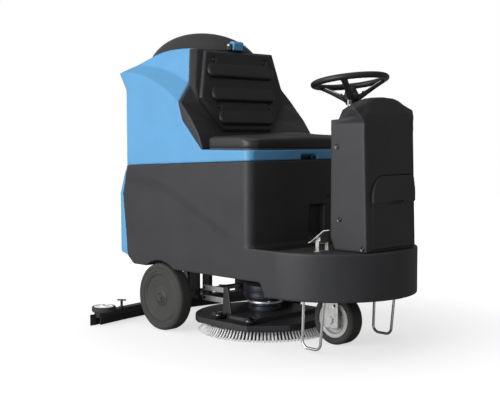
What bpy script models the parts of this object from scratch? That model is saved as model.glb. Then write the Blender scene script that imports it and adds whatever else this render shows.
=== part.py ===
"""Ride-on floor scrubber: a battery-driven machine with a seat, a round brush deck and a rear squeegee.

Metres, +X forwards, +Y to the driver's left, +Z up. The origin is on the floor, under the middle of the
machine's box. Each sub-part is one named solid, and each moving body hangs from an empty on its joint's axis.
"""

import math

import bmesh
import bpy
from mathutils import Matrix, Vector

# ---- Driving dimensions --------------------------------------------------------------------------
GAP = 0.0003                # between faces that touch
PLAY = 0.0006               # radial clearance round a pin or a shaft
REAR_AXLE_X = -0.343
BODY_WIDTH = 0.72
TANK_LENGTH = 0.817
TANK_BEHIND_AXLE = 0.233
TANK_BOTTOM_Z = 0.285
SPLIT_REAR_Z = 0.743        # the line between the black solution tank and the blue recovery tank
SPLIT_FRONT_Z = 0.777
SEAT_DECK_Z = 0.82          # top of the blue deck that carries the seat
TANK_CORNER_R = 0.035
TANK_WALL = 0.045
WELL_OVER_ARCH = 0.0025     # the battery well's floor clears the wheel arches
WELL_ENDS = (0.07, 0.075)   # the tank's end walls, rear and front
BATTERY_GAP = 0.004
BATTERY_HALF = 0.18
BATTERY_HEIGHT = 0.25
POST_R = 0.011
VACUUM_R = 0.055
POCKET = (0.0, 0.1, 0.58, 0.025)    # the recess in the tank's front: y from, y to, top and depth
SLOT = (0.12, 0.155, 0.6, 0.62, 0.01)  # the slot beside it: y from, y to, bottom, top and depth
TANK_HINGE_R = 0.007
TANK_HINGE_HALF = 0.22

CAVITY_FLOOR_Z = 0.79
CAVITY_FRONT = 0.18         # ahead of the dome's middle
CAVITY_REAR = 0.115
CAVITY_SIDE = 0.115         # in from the body's side
DOME_FRONT_SHARE = 0.832    # the lid's flat front cuts the dome's egg at this share of its reach
DOME_REAR = 0.185
DOME_HEIGHT = 0.195
DOME_INSET = 0.055          # in from the body's side
LID_WALL = 0.006
LATCH_HALF = 0.03
LATCH_ROD_R = 0.0045
LATCH_Z = 1.292

NOSE_AHEAD = 0.129          # from the tank's front face to the centre of the round nose
SKIRT_BOTTOM_Z = 0.229
RIM_Z = 0.42
MAT_TOP_Z = 0.398
MAT_THICK = 0.006
FLOOR_THICK = 0.016
SKIRT_WALL = 0.012
RIM_WIDTH = 0.026
SKIRT_STEP = (0.056, 0.086)  # where the skirt's lower edge steps down, ahead of the tank's front

REAR_WHEEL_R = 0.1525
REAR_WHEEL_WIDTH = 0.07
REAR_RIM_R = 0.112
ARCH_CLEARANCE = 0.0125
AXLE_R = 0.012
FRONT_WHEEL_R = 0.107
FRONT_WHEEL_WIDTH = 0.075
FRONT_RIM_R = 0.078
FRONT_WHEEL_AHEAD = 0.039   # ahead of the nose's centre
FORK_GAP = 0.0055           # between the wheel and each fork plate
FORK_PLATE = 0.006
KINGPIN_R = 0.02
WHEEL_BOLT_R = 0.01

RAIL_IN = 0.21              # the rails' middles lie in from the body's sides
RAIL_WIDTH = 0.04
RAIL_HEIGHT = 0.038

COLUMN_WIDTH = 0.32
COLUMN_DEPTH = 0.181
COLUMN_WALL = 0.008
COLUMN_SET_BACK = 0.0115    # from the nose's edge to the column's front corner
COLUMN_TOP_Z = 0.928
STEER_R = 0.1485            # to the middle of the rim's section
STEER_RIM_R = 0.0145
STEER_Z = 1.1025
STEER_TILT = math.radians(8.0)
STEER_BEHIND = 0.035        # from the column's rear face to the wheel's centre
HUB_R = 0.03
HUB_BOTTOM = 0.086          # the wheel's boss ends this far below the rim's plane
SPOKE_HALF = 0.014
SHAFT_R = 0.011
COLUMN_SHAFT_R = 0.008
COLUMN_SHAFT_AHEAD = 0.062  # of the column's rear face
COLUMN_SHAFT_TOP_Z = 0.985
HEAD_CREST = 0.036          # the head's crest, behind the column's front
HEAD_FLARE = 0.03           # the crest's ends stand this far outside the column's sides
HEAD_NECK_HALF = 0.065      # the neck that holds the steering wheel's bearing
STEER_BOX_HEIGHT = 0.075
HATCH_Y = (-0.125, 0.15)
HATCH_ABOVE_RIM = 0.011
HATCH_TOP_Z = 0.72
HATCH_R = 0.085
KEY_R = 0.008
HORN_R = 0.009
KEY_Y = -0.045
HORN_Y = 0.045
PEDAL_BEHIND = (0.137, 0.023)  # the pedal's heel and toe, behind the column's rear face
PEDAL_Y = (-0.14, -0.06)
PEDAL_Z = (0.437, 0.495)
PEDAL_PIN_BEHIND = 0.094
PEDAL_PIN_Z = 0.443
PEDAL_PIN_R = 0.004

BRUSH_AHEAD = 0.315         # ahead of the rear axle
DECK_IN = 0.075             # the deck's flat sides lie in from the body's sides
BRISTLE_FLARE = 0.02        # the bristles' tips reach past the deck's flat sides
DECK_ROUND_OUT = 0.01       # the deck's round back reaches past the bristles' tips
BRUSH_DECK_Z = 0.05
BRUSH_DECK_THICK = 0.026
DECK_STEP = 0.016           # the motor's step stands this far above the deck
DECK_NOSE_HALF_IN = 0.145   # the deck's front edge is narrower than its flat sides by this on each side
DECK_STEP_IN = 0.065        # the motor's step lies in from the deck's flat sides
REAR_KNOB = (-0.035, 0.038)  # ahead of the brush's centre, and in from the deck's flat side
FRONT_KNOB = (0.147, 0.035)  # behind the bristles' front tips, and in from the deck's flat side
BRUSH_SHAFT_R = 0.026
BRISTLE_BOTTOM_Z = 0.002
BRISTLE_TOP_Z = 0.038
LINK_LENGTH = 0.15
LINK_OUT = 0.02             # the deck's links run this far outside the rails
LINK_THICK = 0.008
LINK_LOW_Z = 0.145
LINK_HIGH_Z = 0.192
LINK_PIN_R = 0.006
OPEN_PIVOT_PLAY = 0.0015    # at the upper links' deck pins
LINK_AHEAD = 0.12           # the chassis pivots, ahead of the rear axle

SQUEEGEE_HALF = 0.50
SQUEEGEE_SWEEP = 0.076      # how far the middle lies behind the tips
SQUEEGEE_TIP_BEHIND = 0.285  # behind the rear axle
SQUEEGEE_TOP_Z = 0.062
SQUEEGEE_BAR = 0.044
BLADE_THICK = 0.005
BLADE_IN = 0.007            # from the bar's edge to the middle of each blade
BLADE_TOP_Z = 0.052
BAR_BOTTOM_Z = 0.036
T_KNOB_Y = 0.33
SUCTION_R = 0.026
SWING_PIN_R = 0.009
SWING_PIN_AHEAD = 0.062     # of the bar's middle
ROLLER_R = 0.056
ROLLER_Y = 0.462
ROLLER_TOP_Z = 0.09
ROLLER_HEIGHT = 0.034
ROLLER_PIN_R = 0.007
ROLLER_AHEAD = 0.012        # of the bar's centre line
SQUEEGEE_PIVOT_BEHIND = 0.187
SQUEEGEE_PIVOT_Z = 0.2
LIFT_PIN_R = 0.008
LIFT_ARM_HALF = 0.0325

PAD_FOOT = (-0.372, 0.887)  # the backrest's front face: x from the tank's front, and z, at its foot
PAD_TOP = (-0.442, 1.28)
PAD_THICK = 0.018
SHELL_THICK = 0.03
CUSHION_HEIGHT = 0.063

LOOP_Y = 0.23
LOOP_ROD_R = 0.006
LOOP_REAR = (0.302, 0.314)  # the rear leg's top and foot, behind the nose's front edge
LOOP_FRONT = (0.182, 0.216)
LOOP_BEND_R = 0.03
LOOP_BOTTOM_Z = 0.022       # to the middle of the rod

# ---- Derived places ------------------------------------------------------------------------------
HALF = BODY_WIDTH / 2
TANK_REAR_X = REAR_AXLE_X - TANK_BEHIND_AXLE
TANK_FRONT_X = TANK_REAR_X + TANK_LENGTH
NOSE_X = TANK_FRONT_X + NOSE_AHEAD
COLUMN_HALF = COLUMN_WIDTH / 2
COLUMN_FRONT_X = NOSE_X + math.sqrt(HALF**2 - COLUMN_HALF**2) - COLUMN_SET_BACK
COLUMN_REAR_X = COLUMN_FRONT_X - COLUMN_DEPTH
FRONT_WHEEL_X = NOSE_X + FRONT_WHEEL_AHEAD
FLOOR_TOP_Z = MAT_TOP_Z - MAT_THICK - GAP
FLOOR_BOTTOM_Z = FLOOR_TOP_Z - FLOOR_THICK
RAIL_TOP_Z = TANK_BOTTOM_Z - GAP
RAIL_BOTTOM_Z = RAIL_TOP_Z - RAIL_HEIGHT
RAIL_Y = HALF - RAIL_IN
FRAME_HALF = RAIL_Y + RAIL_WIDTH / 2
LINK_Y = FRAME_HALF + LINK_OUT
BRUSH_X = REAR_AXLE_X + BRUSH_AHEAD
DECK_FLAT_Y = HALF - DECK_IN
BRUSH_R = DECK_FLAT_Y + BRISTLE_FLARE
KNOB_PLACES = ((BRUSH_X + REAR_KNOB[0], DECK_FLAT_Y - REAR_KNOB[1]),
               (BRUSH_X + BRUSH_R - FRONT_KNOB[0], DECK_FLAT_Y - FRONT_KNOB[1]))
HANGER_X = REAR_AXLE_X + LINK_AHEAD
STEER_X = COLUMN_REAR_X - STEER_BEHIND
SQUEEGEE_PIVOT_X = REAR_AXLE_X - SQUEEGEE_PIVOT_BEHIND
SQUEEGEE_TIP_X = REAR_AXLE_X - SQUEEGEE_TIP_BEHIND
SQUEEGEE_MID_X = SQUEEGEE_TIP_X - SQUEEGEE_SWEEP
ARCH_R = REAR_WHEEL_R + ARCH_CLEARANCE
WELL_FLOOR_Z = REAR_WHEEL_R + ARCH_R + WELL_OVER_ARCH
WELL_HALF = HALF - TANK_WALL
WELL_REAR_X = TANK_REAR_X + WELL_ENDS[0]
WELL_FRONT_X = TANK_FRONT_X - WELL_ENDS[1]
TANK_HINGE_X = TANK_REAR_X - 0.008
TANK_BACK = ((TANK_REAR_X, SPLIT_REAR_Z), (TANK_REAR_X - 0.037, 0.61), (TANK_REAR_X - 0.002, 0.322),
             (TANK_REAR_X + 0.045, TANK_BOTTOM_Z))
TANK_TOP = ((TANK_FRONT_X - 0.369, 1.266), (TANK_REAR_X + 0.257, 1.268), (TANK_REAR_X + 0.16, 1.255),
            (TANK_REAR_X + 0.045, 1.213), (TANK_REAR_X - 0.053, 1.168))
SCOOP_FRONT_X = TANK_FRONT_X - 0.217
DOME_CENTRE = (TANK_REAR_X + 0.137, 0, 1.17)
DOME_HALF = HALF - DOME_INSET
LID_FRONT_X = TANK_FRONT_X + PAD_TOP[0] - PAD_THICK - 0.012
DOME_FRONT = (LID_FRONT_X - DOME_CENTRE[0]) / DOME_FRONT_SHARE
LID_HINGE = (TANK_TOP[-1][0] + 0.002, 0, TANK_TOP[-1][1] + 0.004)
STEER_DOWN = Vector((math.sin(STEER_TILT), 0, -math.cos(STEER_TILT)))
STEER_CENTRE = Vector((STEER_X, 0, STEER_Z))
COLUMN_SHAFT_X = COLUMN_REAR_X + COLUMN_SHAFT_AHEAD
HATCH_Z = (RIM_Z + HATCH_ABOVE_RIM, HATCH_TOP_Z)
STEER_BOX_TOP_Z = RIM_Z + STEER_BOX_HEIGHT
PEDAL_PIVOT = Vector((COLUMN_REAR_X - PEDAL_PIN_BEHIND, 0, PEDAL_PIN_Z))
SQUEEGEE_SWING_X = SQUEEGEE_MID_X + SWING_PIN_AHEAD

SCOOP_INSET = 0.032         # the tank above the scoop lies in from the body's side, at its rear
SCOOP_TAPER = 0.151         # and further in by this share of the way forwards
SCOOP_LEAN = 0.23           # and by this share of the height
# The side of the seat's bucket: height, rear edge where it meets the blue tank and front edge of the wing,
# both from the tank's front; how far the flat behind the backrest, and the edge, lie in from the body's side.
BUCKET = (
    (SEAT_DECK_Z + GAP, -0.293, -0.283, 0.230, 0.0),
    (0.889, -0.362, -0.312, 0.195, 0.0),
    (0.948, -0.421, -0.356, 0.153, 0.0),
    (1.026, -0.447, -0.430, 0.094, 0.0),
    (1.100, -0.459, -0.450, 0.088, 0.070),
    (1.2660, -0.491, -0.482, 0.125, 0.1025),
)
# The backrest pad's hexagon: in from the body's side, and height.
PAD_OUTLINE = ((0.210, 0.900), (0.098, 1.05), (0.155, 1.262))

X, Y, Z = Vector((1, 0, 0)), Vector((0, 1, 0)), Vector((0, 0, 1))
PARTS = "ride_on_scrubber"
CUTTERS = "cutters"


# ---- Scene and materials -------------------------------------------------------------------------
def clear_scene():
    for obj in list(bpy.data.objects):
        bpy.data.objects.remove(obj, do_unlink=True)


def collection(name):
    found = bpy.data.collections.get(name)
    if found is None:
        found = bpy.data.collections.new(name)
        bpy.context.scene.collection.children.link(found)
    return found


def finish(name, colour, roughness, metallic=0.0):
    """One Principled material for each named finish."""
    found = bpy.data.materials.get(name)
    if found is None:
        found = bpy.data.materials.new(name)
        found.use_nodes = True
        shader = found.node_tree.nodes["Principled BSDF"]
        shader.inputs["Base Color"].default_value = (*colour, 1.0)
        shader.inputs["Roughness"].default_value = roughness
        shader.inputs["Metallic"].default_value = metallic
        found.diffuse_color = (*colour, 1.0)
    return found


FINISHES = {
    "blue_plastic": ((0.09, 0.38, 0.66), 0.38, 0.0),
    "black_plastic": ((0.055, 0.056, 0.06), 0.5, 0.0),
    "dark_steel": ((0.06, 0.06, 0.065), 0.45, 0.6),
    "zinc_steel": ((0.62, 0.62, 0.6), 0.32, 1.0),
    "stainless": ((0.7, 0.7, 0.71), 0.25, 1.0),
    "grey_rubber": ((0.07, 0.07, 0.068), 0.7, 0.0),
    "grey_plastic": ((0.075, 0.075, 0.073), 0.55, 0.0),
    "aluminium_rim": ((0.5, 0.5, 0.5), 0.4, 0.8),
    "seat_vinyl": ((0.04, 0.037, 0.034), 0.45, 0.0),
    "mat_rubber": ((0.045, 0.044, 0.035), 0.85, 0.0),
    "bristle_nylon": ((0.75, 0.75, 0.76), 0.5, 0.0),
    "brush_block": ((0.2, 0.2, 0.2), 0.6, 0.0),
    "blade_rubber": ((0.06, 0.055, 0.05), 0.6, 0.0),
    "knob_plastic": ((0.015, 0.015, 0.016), 0.2, 0.0),
    "battery_case": ((0.03, 0.03, 0.032), 0.5, 0.0),
    "motor_metal": ((0.25, 0.25, 0.26), 0.45, 0.8),
    "horn_red": ((0.5, 0.03, 0.02), 0.4, 0.0),
}


# ---- Modelling helpers ---------------------------------------------------------------------------
def place(obj, group, material=None):
    """Puts a new object in its collection, with its finish."""
    for old in list(obj.users_collection):
        old.objects.unlink(obj)
    collection(group).objects.link(obj)
    if material:
        obj.data.materials.clear()
        obj.data.materials.append(finish(material, *FINISHES[material]))
    return obj


def from_bmesh(name, work, smooth=None):
    bmesh.ops.recalc_face_normals(work, faces=work.faces)
    mesh = bpy.data.meshes.new(name)
    work.to_mesh(mesh)
    work.free()
    if smooth is not None:
        mesh.shade_smooth()
        mesh.set_sharp_from_angle(angle=math.radians(smooth))
    return place(bpy.data.objects.new(name, mesh), PARTS)


def box(name, low, high):
    """A block between two corners."""
    low, high = Vector(low), Vector(high)
    work = bmesh.new()
    bmesh.ops.create_cube(work, size=1.0)
    bmesh.ops.scale(work, vec=high - low, verts=work.verts)
    obj = from_bmesh(name, work)
    obj.location = (low + high) / 2
    return obj


def facing(centre, axis):
    """The placement that turns Z to an axis and moves the origin to a centre."""
    turn = Z.rotation_difference(Vector(axis)).to_matrix().to_4x4()
    return Matrix.Translation(Vector(centre)) @ turn


def drum(name, start, end, radius, sides=24, end_radius=None):
    """A round bar or a cone from start to end."""
    start, end = Vector(start), Vector(end)
    work = bmesh.new()
    bmesh.ops.create_cone(work, cap_ends=True, segments=sides, radius1=radius,
                          radius2=radius if end_radius is None else end_radius, depth=(end - start).length)
    obj = from_bmesh(name, work, smooth=40)
    obj.matrix_world = facing((start + end) / 2, end - start)
    return obj


def turned(name, profile, centre, axis=Z, sides=36):
    """A turned shape: (radius, height) pairs that run down the outer side, spun about the axis."""
    mesh = bpy.data.meshes.new(name)
    closed_loop = min(r for r, _ in profile) > 0
    count = len(profile)
    edges = [(i, (i + 1) % count) for i in range(count if closed_loop else count - 1)]
    mesh.from_pydata([(r, 0, h) for r, h in profile], edges, [])
    obj = place(bpy.data.objects.new(name, mesh), PARTS)
    screw = obj.modifiers.new("spin", "SCREW")
    screw.axis = "Z"
    screw.angle = math.tau
    screw.steps = screw.render_steps = sides
    screw.use_merge_vertices = True
    screw.merge_threshold = 0.00005
    screw.use_smooth_shade = False
    obj.matrix_world = facing(centre, axis)
    return obj


def arc(cx, cy, radius, start_deg, end_deg, steps):
    """Points on a circle's arc, both ends included."""
    angles = [math.radians(start_deg + (end_deg - start_deg) * i / steps) for i in range(steps + 1)]
    return [(cx + radius * math.cos(a), cy + radius * math.sin(a)) for a in angles]


def rounded(corners, steps=4):
    """An outline from (x, y, radius) corners, each round one as an arc that touches both of its sides."""
    points = []
    for i, (x, y, radius) in enumerate(corners):
        here = Vector((x, y))
        before = Vector(corners[i - 1][:2]) - here
        after = Vector(corners[(i + 1) % len(corners)][:2]) - here
        if radius <= 0:
            points.append((x, y))
            continue
        before.normalize()
        after.normalize()
        half = before.angle(after) / 2
        centre = here + (before + after).normalized() * (radius / math.sin(half))
        reach = radius / math.tan(half)
        first, last = here + before * reach - centre, here + after * reach - centre
        for k in range(steps + 1):
            turn = first.angle_signed(last) * k / steps
            spoke = Matrix.Rotation(-turn, 2) @ first
            points.append(tuple(centre + spoke))
    return points


PLANES = {
    # An outline's own x and y lie along these world directions, and it is extruded along the third.
    "XY": Matrix.Identity(4),
    "XZ": Matrix.Rotation(math.radians(90), 4, "X"),
    "YZ": Matrix(((0, 0, 1, 0), (1, 0, 0, 0), (0, 1, 0, 0), (0, 0, 0, 1))),
}


def as_mesh(obj, name):
    """A curve object made a mesh, with its caps welded."""
    bpy.context.view_layer.update()
    graph = bpy.context.evaluated_depsgraph_get()
    mesh = bpy.data.meshes.new_from_object(obj.evaluated_get(graph))
    work = bmesh.new()
    work.from_mesh(mesh)
    bmesh.ops.remove_doubles(work, verts=work.verts, dist=0.00002)
    bmesh.ops.recalc_face_normals(work, faces=work.faces)
    work.to_mesh(mesh)
    work.free()
    solid = bpy.data.objects.new(name, mesh)
    solid.matrix_world = obj.matrix_world.copy()
    bpy.data.objects.remove(obj, do_unlink=True)
    return place(solid, PARTS)


def plate(name, outline, plane, low, high):
    """A flat outline, extruded between two positions along its plane's normal."""
    curve = bpy.data.curves.new(name + "_outline", "CURVE")
    curve.dimensions = "2D"
    curve.fill_mode = "BOTH"
    curve.extrude = abs(high - low) / 2
    spline = curve.splines.new("POLY")
    spline.points.add(len(outline) - 1)
    for point, (u, v) in zip(spline.points, outline):
        point.co = (u, v, 0, 1)
    spline.use_cyclic_u = True
    guide = bpy.data.objects.new(name + "_outline", curve)
    collection(PARTS).objects.link(guide)
    middle = (low + high) / 2
    offset = {"XY": Z * middle, "XZ": Y * middle, "YZ": X * middle}[plane]
    guide.matrix_world = Matrix.Translation(offset) @ PLANES[plane]
    return as_mesh(guide, name)


def rod(name, points, radius, resolution=2, cyclic=False):
    """A bent round rod through the points."""
    curve = bpy.data.curves.new(name + "_route", "CURVE")
    curve.dimensions = "3D"
    curve.bevel_depth = radius
    curve.bevel_resolution = resolution
    curve.use_fill_caps = True
    spline = curve.splines.new("POLY")
    spline.points.add(len(points) - 1)
    for point, co in zip(spline.points, points):
        point.co = (*co, 1)
    spline.use_cyclic_u = cyclic
    guide = bpy.data.objects.new(name + "_route", curve)
    collection(PARTS).objects.link(guide)
    return as_mesh(guide, name)


def loft(name, rings):
    """A solid through closed rings of as many points each, with a face on the first and the last."""
    work = bmesh.new()
    rows = [[work.verts.new(co) for co in ring] for ring in rings]
    count = len(rows[0])
    for low, high in zip(rows, rows[1:]):
        for i in range(count):
            j = (i + 1) % count
            work.faces.new((low[i], low[j], high[j]))
            work.faces.new((low[i], high[j], high[i]))
    work.faces.new(rows[0])
    work.faces.new(rows[-1])
    return from_bmesh(name, work)


def boolean(obj, tool, operation):
    tool.name = f"{obj.name}_{operation.lower()}_{len(obj.modifiers)}"
    place(tool, CUTTERS)
    tool.hide_render = True
    tool.display_type = "WIRE"
    modifier = obj.modifiers.new(tool.name, "BOOLEAN")
    modifier.operation = operation
    modifier.solver = "EXACT"
    modifier.object = tool


def cut(obj, *tools):
    for tool in tools:
        boolean(obj, tool, "DIFFERENCE")
    return obj


def join(obj, *tools):
    for tool in tools:
        boolean(obj, tool, "UNION")
    return obj


def common(obj, tool):
    boolean(obj, tool, "INTERSECT")
    return obj


def soften(obj, width, segments=2, angle=35):
    """Rounded edges, put on before any cut."""
    bevel = obj.modifiers.new("edges", "BEVEL")
    bevel.width = width
    bevel.segments = segments
    bevel.limit_method = "ANGLE"
    bevel.angle_limit = math.radians(angle)
    return obj


def mirrored(side):
    """The suffix and sign of each side: r is the driver's right, at -Y."""
    return {"r": -1.0, "l": 1.0}[side]


def body(name, centre, pieces, parent=None):
    """An empty on the joint's axis that carries a moving body's pieces."""
    pivot = bpy.data.objects.new(name + "_pivot", None)
    pivot.empty_display_size = 0.05
    pivot.location = Vector(centre) - (parent.matrix_world.translation if parent else Vector())
    collection(PARTS).objects.link(pivot)
    pivot.parent = parent
    bpy.context.view_layer.update()
    for piece in pieces:
        piece.parent = pivot
        piece.matrix_parent_inverse = pivot.matrix_world.inverted()
    return pivot


# ---- Chassis and platform ------------------------------------------------------------------------
def chassis_frame():
    """Two rails with cross members, axle drops, deck hangers, kingpin plate and the platform's posts."""
    rear = TANK_REAR_X + 0.016
    front = NOSE_X + 0.23
    frame = box("chassis_frame", (rear, -FRAME_HALF, RAIL_BOTTOM_Z), (rear + 0.03, FRAME_HALF, RAIL_TOP_Z))
    cross = 0.02
    for sign in (-1, 1):
        y = sign * RAIL_Y
        join(frame, box("rail", (rear + 0.001, y - RAIL_WIDTH / 2 + 0.0002, RAIL_BOTTOM_Z + 0.0002),
                        (front - 0.001, y + RAIL_WIDTH / 2 - 0.0002, RAIL_TOP_Z - 0.0002)))
    for x in (REAR_AXLE_X, TANK_FRONT_X - 0.04):
        join(frame, box("cross", (x - cross, -FRAME_HALF + 0.004, RAIL_BOTTOM_Z + 0.004),
                        (x + cross, FRAME_HALF - 0.004, RAIL_TOP_Z - 0.004)))
    join(frame, box("front_cross", (front - 0.03, -FRAME_HALF, RAIL_BOTTOM_Z),
                    (front, FRAME_HALF, RAIL_TOP_Z)))
    join(frame, box("kingpin_plate", (FRONT_WHEEL_X - 0.07, -RAIL_Y, RAIL_BOTTOM_Z + 0.006),
                    (FRONT_WHEEL_X + 0.07, RAIL_Y, RAIL_TOP_Z - 0.006)))
    cut(frame, drum("kingpin_hole", (FRONT_WHEEL_X, 0, 0), (FRONT_WHEEL_X, 0, 1), KINGPIN_R + PLAY, 32))
    for sign in (-1, 1):
        y = sign * (RAIL_Y - 0.006)
        join(frame, box("axle_drop", (REAR_AXLE_X - 0.03, y - 0.005, REAR_WHEEL_R - 0.03),
                        (REAR_AXLE_X + 0.03, y + 0.005, RAIL_BOTTOM_Z + 0.01)))
        join(frame, box("front_post", (front - 0.025, y - 0.015, RAIL_TOP_Z - 0.01),
                        (front - 0.005, y + 0.015, FLOOR_BOTTOM_Z - GAP)))
        join(frame, box("rear_post", (TANK_FRONT_X + 0.03, y - 0.015, RAIL_TOP_Z - 0.01),
                        (TANK_FRONT_X + 0.05, y + 0.015, FLOOR_BOTTOM_Z - GAP)))
        inner = LINK_Y - LINK_THICK / 2 - GAP
        y0, y1 = sorted((sign * (FRAME_HALF - 0.006), sign * inner))
        join(frame, box("hanger", (HANGER_X - 0.022, y0, LINK_LOW_Z - 0.018),
                        (HANGER_X + 0.022, y1, RAIL_BOTTOM_Z + 0.01)))
        for z in (LINK_LOW_Z, LINK_HIGH_Z):
            join(frame, drum("hanger_pin", (HANGER_X, sign * (inner - 0.006), z),
                             (HANGER_X, sign * (inner + LINK_THICK + 0.004), z), LINK_PIN_R, 16))
        ear = LIFT_ARM_HALF + 0.0045
        x, y = SQUEEGEE_PIVOT_X, sign * ear
        join(frame, box("squeegee_ear", (x - 0.02, y - 0.004, SQUEEGEE_PIVOT_Z - 0.018),
                        (x + 0.012, y + 0.004, RAIL_BOTTOM_Z + 0.01)))
    join(frame, drum("squeegee_pin", (SQUEEGEE_PIVOT_X, -ear - 0.002, SQUEEGEE_PIVOT_Z),
                     (SQUEEGEE_PIVOT_X, ear + 0.002, SQUEEGEE_PIVOT_Z), LIFT_PIN_R, 16))
    cut(frame, drum("axle_hole", (REAR_AXLE_X, -1, REAR_WHEEL_R), (REAR_AXLE_X, 1, REAR_WHEEL_R),
                    AXLE_R + GAP, 24))
    return place(frame, PARTS, "dark_steel")


def nose_outline(inset, rear_x):
    """The platform's plan: straight sides from rear_x, then a half round nose."""
    radius = HALF - inset
    return [(rear_x, -radius)] + arc(NOSE_X, 0, radius, -90, 90, 28) + [(rear_x, radius)]


def footplate():
    """The driver's platform: a tray with a deep skirt round the nose, open below."""
    rear = TANK_FRONT_X + GAP
    tray = plate("footplate", nose_outline(0, rear), "XY", SKIRT_BOTTOM_Z, RIM_Z)
    inside = nose_outline(SKIRT_WALL, rear - 0.05)
    cut(tray, plate("under", inside, "XY", SKIRT_BOTTOM_Z - 0.05, FLOOR_BOTTOM_Z))
    recess = nose_outline(RIM_WIDTH, rear + 0.004)
    recess = [(min(x, COLUMN_REAR_X - 0.004), y) for x, y in recess]
    tidy = [p for i, p in enumerate(recess) if p != recess[i - 1]]
    cut(tray, plate("mat_recess", tidy, "XY", FLOOR_TOP_Z, RIM_Z + 0.05))
    step_x, foot_x = (TANK_FRONT_X + x for x in SKIRT_STEP)
    step = [(rear - 0.02, SKIRT_BOTTOM_Z - 0.02), (foot_x, SKIRT_BOTTOM_Z - 0.02), (foot_x, SKIRT_BOTTOM_Z),
            (step_x + 0.008, TANK_BOTTOM_Z - 0.01), (step_x, TANK_BOTTOM_Z), (rear - 0.02, TANK_BOTTOM_Z)]
    cut(tray, plate("skirt_step", step, "XZ", -HALF - 0.05, HALF + 0.05))
    return place(tray, PARTS, "black_plastic")


def rubber_mat():
    inset = RIM_WIDTH + 0.001
    outline = [(min(x, COLUMN_REAR_X - 0.005), y) for x, y in nose_outline(inset, TANK_FRONT_X + 0.0055)]
    tidy = [p for i, p in enumerate(outline) if p != outline[i - 1]]
    return place(plate("rubber_mat", tidy, "XY", MAT_TOP_Z - MAT_THICK, MAT_TOP_Z), PARTS, "mat_rubber")


def guard_loop(side):
    """A bent steel rod that guards the front wheel: a U that hangs from the platform's floor."""
    y = mirrored(side) * LOOP_Y
    top = FLOOR_BOTTOM_Z - GAP
    nose = NOSE_X + HALF
    rear, front = nose - LOOP_REAR[1] + LOOP_BEND_R, nose - LOOP_FRONT[1] - LOOP_BEND_R
    height = LOOP_BOTTOM_Z + LOOP_BEND_R
    bends = arc(rear, height, LOOP_BEND_R, 180, 270, 5) + arc(front, height, LOOP_BEND_R, 270, 360, 5)
    route = [(nose - LOOP_REAR[0], top + 0.004)] + bends + [(nose - LOOP_FRONT[0], top + 0.004)]
    loop = rod("guard_loop_" + side, [(u, y, v) for u, v in route], LOOP_ROD_R)
    cut(loop, box("level", (nose - 0.4, y - 0.05, top), (nose, y + 0.05, top + 0.05)))
    return place(loop, PARTS, "stainless")


# ---- Tanks and batteries -------------------------------------------------------------------------
def tank_plan(front_x, rear_x):
    """A plan outline with rounded front corners, as wide as the body."""
    return rounded([(rear_x, -HALF, 0.012), (front_x, -HALF, TANK_CORNER_R),
                    (front_x, HALF, TANK_CORNER_R), (rear_x, HALF, 0.012)], 5)


def split_z(x):
    """Height of the split between the two tanks."""
    return SPLIT_REAR_Z + (SPLIT_FRONT_Z - SPLIT_REAR_Z) * (x - TANK_REAR_X) / TANK_LENGTH


def tank_back_x(z):
    """The lower tank's rear edge at a height."""
    (x0, z0), (x1, z1) = next(pair for pair in zip(TANK_BACK, TANK_BACK[1:]) if pair[1][1] <= z)
    return x0 + (x1 - x0) * (z - z0) / (z1 - z0)


def solution_tank():
    """The lower tank: a thick-walled tub round the battery well, with a clean-water filler at its front."""
    outline = [(TANK_FRONT_X, TANK_BOTTOM_Z), (TANK_FRONT_X, SPLIT_FRONT_Z)] + list(TANK_BACK)
    tank = plate("solution_tank", outline, "XZ", -HALF - 0.01, HALF + 0.01)
    common(tank, plate("plan", tank_plan(TANK_FRONT_X, TANK_REAR_X - 0.1), "XY", 0.1, 1.0))
    cut(tank, box("well", (WELL_REAR_X, -WELL_HALF, WELL_FLOOR_Z), (WELL_FRONT_X, WELL_HALF, 1.0)))
    for sign in (-1, 1):
        outer, inner = sign * (HALF + 0.05), sign * (HALF - REAR_WHEEL_WIDTH - 0.008)
        hub = Vector((REAR_AXLE_X, 0, REAR_WHEEL_R))
        cut(tank, drum("arch", hub + Y * outer, hub + Y * inner, ARCH_R, 48))
    y0, y1, top, deep = POCKET
    cut(tank, box("front_pocket", (TANK_FRONT_X - deep, y0, RIM_Z + 0.02), (TANK_FRONT_X + 0.05, y1, top)))
    y0, y1, low, high, deep = SLOT
    cut(tank, box("front_slot", (TANK_FRONT_X - deep, y0, low), (TANK_FRONT_X + 0.05, y1, high)))
    return place(tank, PARTS, "black_plastic")


def rear_cover():
    """The blue fairing behind the lower tank."""
    top, kink, foot = SPLIT_REAR_Z - 0.02, TANK_BACK[1][1], TANK_BACK[2][1]
    inner = [(tank_back_x(z) - GAP * 2, z) for z in (top, kink, foot)]
    outer = [(inner[0][0] - 0.012, top - 0.004, 0), (TANK_REAR_X - 0.058, kink, 0.02),
             (TANK_REAR_X - 0.055, foot + 0.013, 0.012)]
    outline = rounded([(*inner[0], 0)] + outer + [(*inner[2], 0), (*inner[1], 0)], 3)
    cover = plate("rear_cover", outline, "XZ", -HALF + 0.004, HALF - 0.004)
    return place(cover, PARTS, "blue_plastic")


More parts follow.
